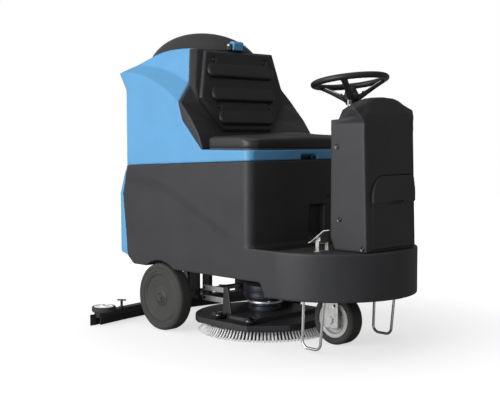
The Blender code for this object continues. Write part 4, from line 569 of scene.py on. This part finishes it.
def tank_lid():
    """The black dome over the recovery tank, with the ears that hold its latch."""
    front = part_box("lid")[1].x
    obj, inside = dome(0), dome(0.006)
    obj.name = "tank_lid"
    cut(obj, block("front", (DOME_FLAT, -1, 1.1), (1, 1, 1.5)))
    cut(inside, block("front", (DOME_FLAT - 0.006, -1, 1.1), (1, 1, 1.5)))
    cut(obj, inside)
    under = [(TANK_FRONT - 0.217, 1.0), (TANK_FRONT - 0.217, 1.2663)] + [(x, z + 0.0006) for x, z in TANK_TOP[:-8]]
    under += [(TANK_REAR - 0.2, 1.108), (TANK_REAR - 0.2, 0.9)]
    cut(obj, prism("under", under, "XZ", -1, 1))
    ear = rounded([(DOME_FLAT - 0.004, 1.271, 0), (front, 1.271, 0.004), (front, 1.301, 0.006),
                   (DOME_FLAT - 0.004, 1.301, 0)])
    ears = [prism("ear", ear, "XZ", *sorted((s * 0.032, s * 0.042))) for s in (-1, 1)]
    moulded(join(obj, *ears), 0.003, 5)
    piece(obj, "lid", "black_plastic", ("lid",), 180)
    piece(recast("lid_latch", "latch_tab", 0.0012, 3), "latch", "blue_plastic", ("lid_latch",), 180)
    for side in (-1, 1):
        at = Vector((middle("lid_latch").x, side * 0.046, 1.292))
        stub = [(0, 0.0105), (0.0035, 0.0105), (0.0058, 0.009), (0.0058, 0), (0, 0)]
        stub = turned(f"latch_stub_{'rl'[side > 0]}", softened(stub, 0.0008, 2), at, side * Y, 32)
        piece(stub, "latch", "zinc_steel")


def backrest():
    """The bucket behind the driver, and the padded panel with its three raised ribs."""
    shell = recast("backrest_shell", "seat_bucket", 0.0035, 5)
    piece(shell, "recovery", "black_plastic", ("backrest_shell",), 180)
    (x0, z0), (x1, z1) = PAD_FOOT, PAD_TOP
    lean = math.atan2(x0 - x1, z1 - z0)
    corners = [(HALF - inset, (z - z0) / math.cos(lean))
               for inset, z in ((0.210, 0.900), (0.098, 1.05), (0.155, 1.262))]
    hexagon = [(-y, v) for y, v in reversed(corners)] + corners
    centre = Vector((0, (corners[0][1] + corners[-1][1]) / 2))
    rows, columns = 150, 190
    v0, v1 = corners[0][1], corners[-1][1]
    grid_v = np.linspace(v0, v1, rows)
    half = np.interp(grid_v, [c[1] for c in corners], [c[0] for c in corners])
    u = np.linspace(-1, 1, columns)[None, :] * half[:, None]
    v = np.repeat(grid_v[:, None], columns, 1)
    reach = np.full(u.shape, 1.0)
    for (ya, va), (yb, vb) in zip(hexagon, hexagon[1:] + hexagon[:1]):
        normal = Vector((vb - va, ya - yb)).normalized()
        if normal.dot(centre - Vector((ya, va))) < 0:
            normal = -normal
        reach = np.minimum(reach, (u - ya) * normal.x + (v - va) * normal.y)
    edge = np.clip(reach / 0.011, 0, 1)
    height = -PAD_THICK + PAD_THICK * np.sqrt(1 - (1 - edge) ** 2)
    # The ribs: lower edge, upper edge and half width.
    for low, high, wide in ((1.142, 1.203, 0.205), (1.035, 1.097, 0.196), (0.930, 0.992, 0.170)):
        a, b = ((z - z0) / math.cos(lean) for z in (low, high))
        share, radius = np.clip((v - a) / (b - a), 0, 1), 0.026
        depth = radius - np.hypot(np.maximum(0, np.abs(u) - wide + radius),
                                  np.maximum(0, np.abs(v - (a + b) / 2) - (b - a) / 2 + radius))
        shoulder = np.sqrt(1 - (1 - np.clip(depth / 0.012, 0, 1)) ** 2)
        height += 0.016 * shoulder * (1 - 0.95 * share**1.1)
        height -= 0.004 * np.exp(-((depth + 0.002) / 0.0028) ** 2) * (1 - share) ** 0.5
    screws = [(y, (z - z0) / math.cos(lean)) for y in (-0.16, 0.16) for z in (1.222, 1.014)]
    for y, at in screws:
        distance = np.hypot(u - y, v - at)
        height -= 0.006 * (1 - smoothstep(distance, 0.012, 0.016))
    up = Vector((-math.sin(lean), 0, math.cos(lean)))
    out = Vector((math.cos(lean), 0, math.sin(lean)))
    base = Vector((x0, 0, z0))
    front = (np.array(base) + v[..., None] * np.array(up) + height[..., None] * np.array(out)
             + u[..., None] * np.array(Y)).reshape(-1, 3)
    back = (np.array(base) + v[..., None] * np.array(up) - PAD_THICK * np.array(out)
            + u[..., None] * np.array(Y)).reshape(-1, 3)
    points = np.vstack([front, back])
    total, faces = rows * columns, []
    for i in range(rows - 1):
        for j in range(columns - 1):
            a = i * columns + j
            faces.append((a, a + 1, a + columns + 1, a + columns))
            faces.append((total + a, total + a + columns, total + a + columns + 1, total + a + 1))
    border = ([j for j in range(columns)] + [i * columns + columns - 1 for i in range(1, rows)]
              + [(rows - 1) * columns + j for j in range(columns - 2, -1, -1)]
              + [i * columns for i in range(rows - 2, 0, -1)])
    faces += [(a, b, total + b, total + a) for a, b in zip(border, border[1:] + border[:1])]
    pad = from_points("back_cushion", [tuple(p) for p in points], faces)
    piece(pad, "recovery", "seat_vinyl", ("backrest_pad",), 60)
    for index, (y, at) in enumerate(screws):
        screw(f"back_screw_{index}", base + up * at + Y * y - out * 0.005, out, "recovery", 0.012)


def seat():
    """The moulded seat: rolled front, raised bolsters and a shallow hollow."""
    rear, front, half = pad_x(SEAT_Z) + 0.047, TANK_FRONT - 0.002, HALF - 0.014
    outline = rounded([(rear, -0.10, 0.02), (rear + 0.042, -half, 0.016), (front, -half, 0.055),
                       (front, half, 0.055), (rear + 0.042, half, 0.016), (rear, 0.10, 0.02)], 8)
    obj = prism("seat_pad", outline, "XY", SEAT_Z + 0.001, SEAT_Z + 0.056)
    moulded(obj, 0.0065, 26)
    points = vertices(obj)
    x, y, z = points.T
    upper = smoothstep(z, SEAT_Z + 0.004, SEAT_Z + 0.05)
    # Low bolsters at the sides, a rise at the middle of the front, and a rolled front edge.
    bolster = np.exp(-((np.abs(y) - 0.235) / 0.08) ** 2) * smoothstep(x, rear + 0.02, rear + 0.12)
    rise = np.exp(-((y / 0.17) ** 2) - ((x - front + 0.10) / 0.10) ** 2)
    roll = smoothstep(x, front - 0.08, front - 0.01)
    points[:, 2] += upper * (0.004 * bolster + 0.018 * rise - 0.010 * roll)
    obj = reshape(obj, points)
    fine = obj.modifiers.new("fine", "SUBSURF")
    fine.levels = fine.render_levels = 1
    piece(bake(obj), "recovery", "seat_vinyl", ("seat_cushion",), 180)
    edge = rounded([(rear + 0.006, -0.095, 0.02), (rear + 0.046, -half + 0.003, 0.016),
                    (front - 0.001, -half + 0.003, 0.05), (front - 0.001, half - 0.003, 0.05),
                    (rear + 0.046, half - 0.003, 0.016), (rear + 0.006, 0.095, 0.02)], 8)
    tray = prism("seat_tray", edge, "XY", SEAT_Z + 0.0004, SEAT_Z + 0.007)
    piece(tray, "recovery", "black_plastic", smooth=40)


# ---- Column and steering ---------------------------------------------------------------------------
def lean_back(obj):
    """Leans the column's front face back, as in the photograph."""
    points = vertices(obj)
    share = smoothstep(points[:, 0], COLUMN_LOW.x + 0.05, COLUMN_FRONT - 0.03)
    rise = np.minimum(points[:, 2], COLUMN_HIGH.z) - RIM_Z
    points[:, 0] += share * (FACE_FOOT - FACE_LEAN * rise)
    return reshape(obj, points)


def column():
    """The steering column with its arched head, screws and front hatch."""
    rear, top = COLUMN_LOW.x, COLUMN_HIGH.z
    collar = prism("collar", [(rear + 0.001, -COLUMN_HALF), (COLUMN_FRONT, -COLUMN_HALF), (COLUMN_FRONT, COLUMN_HALF),
                              (rear + 0.001, COLUMN_HALF)], "XY", top - 0.03, top + 0.008)
    cut(collar, block("bore", (rear + 0.04, -0.14, 0), (COLUMN_FRONT - 0.012, 0.14, 2)))
    head = join(recast("control_panel", "control_head", 0.003, 3), collar)
    shell = recast("column_shell", "column_casing", 0.003, 6, head)
    lean_back(shell)
    piece(shell, "chassis", "black_plastic", ("column_shell", "control_panel"), 180)
    for side in (-1, 1):
        for index, (x, z) in enumerate(((0.535, 0.836), (0.549, 0.545), (0.668, 0.437))):
            tag = "r" if side < 0 else "l"
            screw(f"column_screw_{tag}_{index}", (x, side * (COLUMN_HALF + 0.001), z), side * Y, "chassis")
    low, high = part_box("front_hatch")
    y0, y1, z0, z1 = low.y, high.y, low.z, high.z
    outline = rounded([(y0, z0, 0.006), (y1, z0, 0.006), (y1, z1, 0.012), (y0, z1, 0.085)], 16)
    hatch = prism("hatch_door", outline, "YZ", low.x, COLUMN_FRONT + 0.014)
    face = [(COLUMN_FRONT + 0.001, z0 - 0.1), (COLUMN_FRONT + 0.001, 0.608), (COLUMN_FRONT + 0.0115, 0.617),
            (COLUMN_FRONT + 0.0115, 0.66), (COLUMN_FRONT + 0.004, z1 + 0.001), (1, z1 + 0.1), (1, z0 - 0.1)]
    cut(hatch, prism("face", face, "XZ", -1, 1))
    inner = rounded([(y0 + 0.009, z0 + 0.009, 0.006), (y1 - 0.009, z0 + 0.009, 0.006), (y1 - 0.009, 0.604, 0.006),
                     (y0 + 0.009, 0.604, 0.006)], 6)
    cut(hatch, prism("panel", inner, "YZ", COLUMN_FRONT - 0.0015, 1))
    at = (y0 + y1) / 2 + 0.015
    cut(hatch, block("slot", (COLUMN_FRONT - 0.004, at - 0.045, 0.606), (1, at + 0.045, 0.620)))
    lean_back(moulded(hatch, 0.0022, 3))
    piece(hatch, "hatch", "black_plastic", ("front_hatch",), 180)


def steering():
    """The wheel with three steep spokes on its low boss."""
    turn = Matrix.Translation(STEER_CENTRE) @ Matrix.Rotation(-STEER_TILT, 4, "Y")
    radius, rod = 0.1485, 0.0142
    count, sides = 120, 28
    points, faces = [], []
    for i in range(count):
        a = math.tau * i / count
        for k in range(sides):
            b = math.tau * k / sides
            grip = 1 - 0.05 * max(0.0, -math.sin(b)) * (0.5 + 0.5 * math.cos(a * 36))
            r = radius + rod * math.cos(b) * grip
            points.append(turn @ Vector((r * math.cos(a), r * math.sin(a), 0.92 * rod * math.sin(b) * grip)))
            faces.append((i * sides + k, i * sides + (k + 1) % sides,
                          ((i + 1) % count) * sides + (k + 1) % sides, ((i + 1) % count) * sides + k))
    rim = from_points("steering_wheel_rim", points, faces)
    outer, inner = Vector((radius - 0.004, 0, -0.006)), Vector((0.018, 0, -0.072))
    fall = math.atan2(outer.z - inner.z, outer.x - inner.x)
    length = (outer - inner).length
    spokes, strips = [], []
    for angle in (60, 180, 300):
        local = turn @ Matrix.Rotation(math.radians(angle), 4, "Z") @ Matrix.Translation(inner) \
            @ Matrix.Rotation(-fall, 4, "Y")
        # Each section: share of the length, half width, half height.
        beam = loft("spoke", [[(s * length, w * y, w2 * z) for y, z in
                               ((-0.5, -1), (0.5, -1), (1, -0.2), (1, 0.35), (0.8, 0.5), (-0.8, 0.5), (-1, 0.35),
                                (-1, -0.2))] for s, w, w2 in
                              ((0, 0.017, 0.016), (0.25, 0.013, 0.014), (0.6, 0.012, 0.011), (0.88, 0.013, 0.010),
                               (1, 0.017, 0.010))])
        beam.data.transform(local)
        spokes.append(beam)
        strip = loft("strip", [[(s * length, w * y, 0.0052 + 0.0016 * z) for y, z in
                                ((-1, -1), (1, -1), (1, 0.4), (0.85, 1), (-0.85, 1), (-1, 0.4))]
                               for s, w in ((0.16, 0.0065), (0.2, 0.0078), (0.86, 0.0088), (0.93, 0.0072))])
        strip.data.transform(local)
        strips.append(strip)
        for k, s in enumerate((0.3, 0.8)):
            at = local @ Vector((s * length, 0, 0.0068))
            screw(f"spoke_screw_{angle}_{k}", at, (local.to_3x3() @ Z), "steering_wheel", 0.0045)
    down = Vector((math.sin(STEER_TILT), 0, -math.cos(STEER_TILT)))
    boss = [(0, 0.026), (0.014, 0.0265), (0.021, 0.030), (0.024, 0.038), (0.029, 0.052), (0.0365, 0.062),
            (0.038, 0.068), (0.036, 0.078), (0.030, 0.0855), (0, 0.0855)]
    joined = join(rim, turned("boss", softened(boss, 0.003), STEER_CENTRE, down), *spokes)
    piece(joined, "steering_wheel", "black_plastic", ("steering_rim",), 40, "soft_black")
    strips[0].name = "spoke_strips"
    piece(join(*strips), "steering_wheel", "zinc_steel", smooth=40)
    collar = [(0, 0.0862), (0.0265, 0.0862), (0.0275, 0.09), (0.024, 0.096), (0.020, 0.1), (0, 0.1)]
    hub = turned("steering_collar", softened(collar, 0.0015), STEER_CENTRE, down)
    piece(hub, "steering_wheel", "black_plastic", ("steering_hub",), finish="soft_black")


# ---- Wheels ----------------------------------------------------------------------------------------
def rear_wheel(tag, sign):
    """A grey tyre and its ringed hub."""
    low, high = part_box("rear_tyre_" + tag)
    centre, r, w = (low + high) / 2, (high.z - low.z) / 2, (high.y - low.y) / 2
    rim = 0.112
    tyre = [(rim, -w), (r - 0.012, -w), (r - 0.003, -w + 0.006), (r, -w + 0.016), (r, w - 0.016),
            (r - 0.003, w - 0.006), (r - 0.012, w), (rim + 0.022, w), (rim + 0.019, w - 0.0025),
            (rim + 0.002, w - 0.003), (rim, w - 0.006)]
    obj = turned("rear_tread_" + tag, softened(tyre, 0.004, 4), centre, sign * Y, 128)
    piece(obj, "rear_wheel_" + tag, "grey_rubber", ("rear_tyre_" + tag,), 60)
    edge, bore = rim - 0.0004, 0.0126
    disc = [(bore, w - 0.006), (0.019, w - 0.004), (0.026, w - 0.009), (0.030, w - 0.0115), (0.037, w - 0.012),
            (0.039, w - 0.0155), (0.055, w - 0.0155), (0.057, w - 0.0142), (0.075, w - 0.0136),
            (0.077, w - 0.0124), (edge - 0.014, w - 0.0115), (edge - 0.007, w - 0.005), (edge, w - 0.005),
            (edge, -w + 0.004), (edge - 0.008, -w + 0.004), (edge - 0.014, 0.0), (0.036, 0.0), (0.03, -w),
            (bore, -w)]
    obj = turned("rear_hub_" + tag, softened(disc, 0.0012, 2), centre, sign * Y, 128)
    piece(obj, "rear_wheel_" + tag, "grey_plastic", ("rear_rim_" + tag,), 35)
    cap = [(0, w - 0.0015), (0.006, w - 0.0018), (0.0105, w - 0.004), (0.0118, w - 0.008), (0, w - 0.008)]
    obj = turned("rear_cap_" + tag, softened(cap, 0.001, 2), centre, sign * Y, 48)
    piece(obj, "rear_wheel_" + tag, "grey_plastic")


def front_wheel():
    """The drive wheel: tyre, pressed disc and nuts."""
    low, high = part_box("front_tyre")
    centre, r, w = (low + high) / 2, (high.z - low.z) / 2, (high.y - low.y) / 2
    rim = 0.078
    half = [(rim + 0.001, w - 0.007), (rim + 0.003, w - 0.004), (rim + 0.013, w), (r - 0.010, w),
            (r - 0.002, w - 0.006), (r, w - 0.013)]
    profile = half + [(radius, -h) for radius, h in reversed(half)]
    obj = turned("front_tread", softened(profile, 0.004, 4), centre, Y, 120)
    piece(obj, "front_wheel", "grey_rubber", ("front_tyre",), 60)
    half = [(0.0107, w - 0.004), (0.028, w - 0.004), (0.031, w - 0.017), (0.055, w - 0.019), (0.059, w - 0.010),
            (0.062, w - 0.006), (rim - 0.002, w - 0.005), (rim, w - 0.007)]
    profile = half + [(radius, -h) for radius, h in reversed(half)]
    obj = turned("front_disc", softened(profile, 0.0015, 3), centre, Y, 120)
    piece(obj, "front_wheel", "aluminium_rim", ("front_rim",), 35)
    for side in (-1, 1):
        for k in range(5):
            a = math.tau * (k + 0.3) / 5
            at = centre + Vector((0.043 * math.cos(a), side * (w - 0.0185), 0.043 * math.sin(a)))
            profile = [(0, 0.0052), (0.0045, 0.005), (0.0055, 0.004), (0.0055, 0), (0, 0)]
            obj = turned(f"wheel_nut_{'rl'[side > 0]}_{k}", profile, at, side * Y, 6)
            piece(obj, "front_wheel", "zinc_steel", smooth=20)


def fork():
    """The plates that hold the front wheel."""
    obj = recast("drive_fork", "fork_plates", 0.0022, 2)
    piece(obj, "fork", "zinc_steel", ("drive_fork",), 180)


# ---- Brush deck ------------------------------------------------------------------------------------
def deck():
    """The deck's plate and step, with its knobs, links and motor."""
    obj = recast("deck_plate", "deck_cover", 0.003, 3)
    piece(obj, "deck", "dark_steel", ("deck_plate",), 180)
    for label in ("rear_r", "front_r", "rear_l", "front_l"):
        low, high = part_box("deck_knob_" + label)
        at = Vector(((low.x + high.x) / 2, (low.y + high.y) / 2, low.z))
        profile = [(0, 0.0295), (0.010, 0.03), (0.0145, 0.0285), (0.0165, 0.025), (0.0225, 0.0225), (0.025, 0.0165),
                   (0.0235, 0.009), (0.018, 0.005), (0.014, 0), (0, 0)]
        knob = turned("knob_" + label, softened(profile, 0.002), at, Z, 64)
        piece(knob, "deck", "knob_plastic", ("deck_knob_" + label,))
    low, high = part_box("brush_motor")
    x, base = (low.x + high.x) / 2, high.z - 0.138
    profile = [(0, 0.138), (0.03, 0.138), (0.032, 0.134), (0.07, 0.134), (0.086, 0.128), (0.096, 0.116),
               (0.096, 0.09), (0.093, 0.088), (0.093, 0.082), (0.096, 0.080), (0.096, 0.062), (0.082, 0.052),
               (0.062, 0.046), (0.062, 0.025), (0.073, 0.02), (0.073, 0.0), (0.026, 0), (0.026, low.z - base),
               (0, low.z - base)]
    motor = turned("brush_drive", softened([(r, base + h) for r, h in profile], 0.0015), (x, 0, 0))
    piece(motor, "deck", "motor_metal", ("brush_motor",), 35)
    ring = [(0.0625, 0.0445), (0.079, 0.0445), (0.0795, 0.036), (0.0625, 0.034)]
    flange = turned("motor_flange", softened([(r, base + h) for r, h in ring], 0.001, 2), (x, 0, 0))
    piece(flange, "deck", "zinc_steel", smooth=40)
    for k in range(6):
        a = math.tau * (k + 0.5) / 6
        at = (x + 0.0715 * math.cos(a), 0.0715 * math.sin(a), base + 0.0445)
        profile = [(0, 0.005), (0.0045, 0.005), (0.0055, 0.004), (0.0055, 0), (0, 0)]
        bolt = turned(f"flange_bolt_{k}", profile, at, Z, 6)
        piece(bolt, "deck", "zinc_steel", smooth=20)
    for node, body in (("upper_link_r", "upper_link_r"), ("upper_link_l", "upper_link_l"),
                       ("lower_link_r", "lower_links"), ("lower_link_l", "lower_links")):
        piece(recast(node, node + "_bar", 0.0014, 3), body, "zinc_steel", (node,), 180)


def brush():
    """The block, its ring of splayed tufts with a slight glow as painted light, and dark filaments behind them as
    painted shade for the brush's shaded inside.
    """
    low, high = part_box("bristle_ring")
    centre, radius = (low + high) / 2, (high.x - low.x) / 2
    generator = np.random.default_rng(7)
    # The inner filaments take the dark brush_block finish: painted shade between the bright tufts.
    for name, inset, tips, count, loose, finish, node in (
            ("bristles", 0.0, 112, 26, 0.20, "bristle_nylon", ("bristle_ring",)),
            ("painted_shade_bristles", 0.016, 336, 9, 0.5, "brush_block", ())):
        points, faces = [], []
        for k in range(tips):
            for _ in range(count):
                a = math.tau * (k + generator.uniform(-loose, loose)) / tips
                start = radius - 0.036 - inset + generator.uniform(-0.003, 0.003)
                end = radius - 0.0015 - inset + generator.uniform(-0.010, 0.0)
                foot = generator.uniform(0.0, 0.0012) + inset * 0.25
                base = len(points)
                for s, thick in ((0.0, 0.0010), (0.55, 0.0011), (1.0, 0.0009)):
                    reach = start + (end - start) * s**1.3
                    z = high.z + 0.002 - (high.z + 0.002 - low.z - foot) * s
                    for t in range(3):
                        u, v = reach + thick * math.cos(math.tau * t / 3), thick * math.sin(math.tau * t / 3)
                        points.append((centre.x + u * math.cos(a) - v * math.sin(a),
                                       u * math.sin(a) + v * math.cos(a), z))
                for s in range(2):
                    for t in range(3):
                        p, q = base + 3 * s + t, base + 3 * s + (t + 1) % 3
                        faces.append((p, q, q + 3, p + 3))
                faces += [(base, base + 1, base + 2), (base + 6, base + 8, base + 7)]
        piece(from_points(name, points, faces), "brush", "bristle_nylon", node, 180, finish)
    low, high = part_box("brush_disc")
    edge = (high.x - low.x) / 2
    profile = [(0, high.z), (0.028, high.z), (0.04, low.z + 0.016), (edge - 0.006, low.z + 0.014),
               (edge, low.z + 0.006), (edge, low.z), (0, low.z)]
    plate = turned("brush_plate", softened(profile, 0.003), (centre.x, 0, 0))
    piece(plate, "brush", "brush_block", ("brush_disc",), 40)


# ---- Squeegee --------------------------------------------------------------------------------------
def squeegee():
    """The casting and its two rollers."""
    obj = recast("squeegee_body", "squeegee_casting", 0.0022, 3)
    piece(obj, "squeegee", "dark_steel", ("squeegee_body",), 180)
    for tag in "rl":
        low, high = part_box("roller_" + tag)
        centre, r = (low + high) / 2, (high.x - low.x) / 2
        z0, z1 = low.z, high.z
        tyre = [(r - 0.010, z0 + 0.001), (r - 0.004, z0), (r, z0 + 0.005), (r, z1 - 0.005), (r - 0.004, z1),
                (r - 0.010, z1 - 0.001)]
        rubber = turned("roller_tyre_" + tag, softened(tyre, 0.002), (centre.x, centre.y, 0), Z, 72)
        piece(rubber, "roller_" + tag, "grey_rubber", ("roller_" + tag,), 60)
        disc = [(0.0076, z1 + 0.003), (0.014, z1 + 0.003), (0.017, z1 - 0.001), (r - 0.022, z1 - 0.002),
                (r - 0.018, z1 + 0.001), (r - 0.0101, z1 - 0.001), (r - 0.0101, z0 + 0.001), (0.0076, z0 + 0.001)]
        hub = turned("roller_hub_" + tag, softened(disc, 0.001, 2), (centre.x, centre.y, 0), Z, 72)
        piece(hub, "roller_" + tag, "bristle_nylon", smooth=35)


def small_parts():
    """Guard loops, mat studs, pedal, squeegee knobs and rear cover."""
    for tag, sign in (("r", -1), ("l", 1)):
        y, nose = sign * 0.23, NOSE_X + HALF
        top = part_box("guard_loop_" + tag)[1].z
        rear, front, height = nose - 0.284, nose - 0.246, 0.052
        bends = arc(rear, height, 0.03, 180, 270, 16) + arc(front, height, 0.03, 270, 360, 16)
        route = [(nose - 0.302, top)] + bends + [(nose - 0.182, top)]
        loop = tube("guard_rod_" + tag, [(u, y, v) for u, v in route], 0.006, 20)
        piece(loop, "chassis", "stainless", ("guard_loop_" + tag,), 60)
    low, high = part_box("rubber_mat")
    points, faces = [], []
    pitch = 0.0135
    for i in range(int((high.x - low.x) / pitch)):
        for j in range(int((high.y - low.y) / pitch)):
            x = low.x + pitch * (i + 0.6)
            y = low.y + pitch * (j + 0.6 + 0.5 * (i % 2))
            if y > high.y - 0.006 or x > high.x - 0.006 or (x > NOSE_X and math.hypot(x - NOSE_X, y) > HALF - 0.034):
                continue
            base = len(points)
            for r, z in ((0.0042, -0.0004), (0.0036, 0.0011), (0.0022, 0.0016)):
                points += [(x + r * math.cos(math.tau * k / 8), y + r * math.sin(math.tau * k / 8), MAT_TOP + z)
                           for k in range(8)]
            for s in range(2):
                faces += [(base + 8 * s + k, base + 8 * s + (k + 1) % 8, base + 8 * s + 8 + (k + 1) % 8,
                           base + 8 * s + 8 + k) for k in range(8)]
            faces += [tuple(range(base, base + 8)), tuple(range(base + 16, base + 24))]
    studs = from_points("mat_studs", points, faces)
    piece(studs, "chassis", "mat_rubber", smooth=40)
    for node, body, slot, voxel in (("pedal_plate", "pedal", "zinc_steel", 0.0011),
                                    ("pedal_bracket", "chassis", "zinc_steel", 0.0011),
                                    ("squeegee_knob_r", "squeegee_knob_r", "knob_plastic", 0.0009),
                                    ("squeegee_knob_l", "squeegee_knob_l", "knob_plastic", 0.0009)):
        piece(recast(node, node + "_cast", voxel, 3), body, slot, (node,), 180)
    cover = recast("rear_cover", "rear_fairing", 0.003, 4)
    piece(cover, "chassis", "blue_plastic", ("rear_cover",), 180)


main_body()
upper_tank()
tank_lid()
backrest()
seat()
column()
steering()
rear_wheel("r", -1)
rear_wheel("l", 1)
front_wheel()
fork()
deck()
brush()
squeegee()
small_parts()


# ---- Camera, light and floor -----------------------------------------------------------------------
def camera():
    """The photograph's view: from the machine's right front, at about the seat's height."""
    data = bpy.data.cameras.new("camera")
    data.lens = 69.74
    data.sensor_width = 36.0
    eye = bpy.data.objects.new("camera", data)
    yaw, pitch = math.radians(135.667), math.radians(-3.722)
    eye.location = (3.049, -3.100, 0.8737)
    look = Vector((math.cos(yaw) * math.cos(pitch), math.sin(yaw) * math.cos(pitch), math.sin(pitch)))
    eye.rotation_euler = look.to_track_quat("-Z", "Y").to_euler()
    bpy.context.scene.collection.objects.link(eye)
    bpy.context.scene.camera = eye


def lamp(name, place, target, size, power):
    data = bpy.data.lights.new(name, "AREA")
    data.shape = "RECTANGLE"
    data.size, data.size_y = size
    data.energy = power
    obj = bpy.data.objects.new(name, data)
    obj.location = place
    obj.rotation_euler = (Vector(target) - Vector(place)).to_track_quat("-Z", "Y").to_euler()
    bpy.context.scene.collection.objects.link(obj)


def world():
    """White where the camera sees it; as a lamp, brightest from the machine's right side."""
    scene_world = bpy.data.worlds.new("studio")
    scene_world.use_nodes = True
    bpy.context.scene.world = scene_world
    nodes, links = scene_world.node_tree.nodes, scene_world.node_tree.links
    back = nodes["Background"]
    back.inputs["Color"].default_value = (1, 1, 1, 1)
    path = nodes.new("ShaderNodeLightPath")
    toward = nodes.new("ShaderNodeVectorMath")
    toward.operation = "DOT_PRODUCT"
    toward.inputs[1].default_value = (-0.45, -0.88, -0.12)
    links.new(nodes.new("ShaderNodeTexCoord").outputs["Generated"], toward.inputs[0])
    side = nodes.new("ShaderNodeMapRange")
    side.inputs["From Min"].default_value = -0.5
    side.inputs["From Max"].default_value = 0.9
    side.inputs["To Min"].default_value = 0.17
    side.inputs["To Max"].default_value = 0.85
    links.new(toward.outputs["Value"], side.inputs["Value"])
    strength = nodes.new("ShaderNodeMath")
    strength.operation = "MAXIMUM"
    links.new(path.outputs["Is Camera Ray"], strength.inputs[0])
    links.new(side.outputs["Result"], strength.inputs[1])
    links.new(strength.outputs["Value"], back.inputs["Strength"])


def floor():
    """A pale floor that keeps the machine's shadow and fades to white."""
    size = 9.0
    obj = from_points("floor", [(-size, -size, 0), (size, -size, 0), (size, size, 0), (-size, size, 0)],
                      [(0, 1, 2, 3)])
    obj.location.z = -0.0005
    material = bpy.data.materials.new("floor")
    material.use_nodes = True
    nodes, links = material.node_tree.nodes, material.node_tree.links
    shader, output = nodes["Principled BSDF"], nodes["Material Output"]
    shader.inputs["Base Color"].default_value = (0.38, 0.38, 0.38, 1)
    shader.inputs["Roughness"].default_value = 0.9
    shader.inputs["Specular IOR Level"].default_value = 0.1
    glow = nodes.new("ShaderNodeEmission")
    path = nodes.new("ShaderNodeLightPath")
    centre = nodes.new("ShaderNodeVectorMath")
    centre.operation = "LENGTH"
    links.new(nodes.new("ShaderNodeTexCoord").outputs["Object"], centre.inputs[0])
    far = nodes.new("ShaderNodeMapRange")
    far.inputs["From Min"].default_value = 0.7
    far.inputs["From Max"].default_value = 2.1
    far.inputs["To Min"].default_value = 0.66
    far.inputs["To Max"].default_value = 1.0
    links.new(centre.outputs["Value"], far.inputs["Value"])
    seen = nodes.new("ShaderNodeMath")
    seen.operation = "MULTIPLY"
    links.new(path.outputs["Is Camera Ray"], seen.inputs[0])
    links.new(far.outputs["Result"], seen.inputs[1])
    links.new(seen.outputs["Value"], glow.inputs["Strength"])
    both = nodes.new("ShaderNodeAddShader")
    links.new(shader.outputs["BSDF"], both.inputs[0])
    links.new(glow.outputs["Emission"], both.inputs[1])
    links.new(both.outputs["Shader"], output.inputs["Surface"])
    obj.data.materials.append(material)


camera()
world()
floor()
lamp("key", (-0.5, -4.8, 1.5), (0, 0, 0.6), (3.5, 2.5), 205)
lamp("front", (5.0, 0.6, 2.6), (0.2, 0, 0.6), (2.5, 2.5), 14)
lamp("top", (0.2, 0.4, 5.0), (0, 0, 0.5), (4.0, 4.0), 36)
bpy.context.scene.view_settings.view_transform = "Standard"
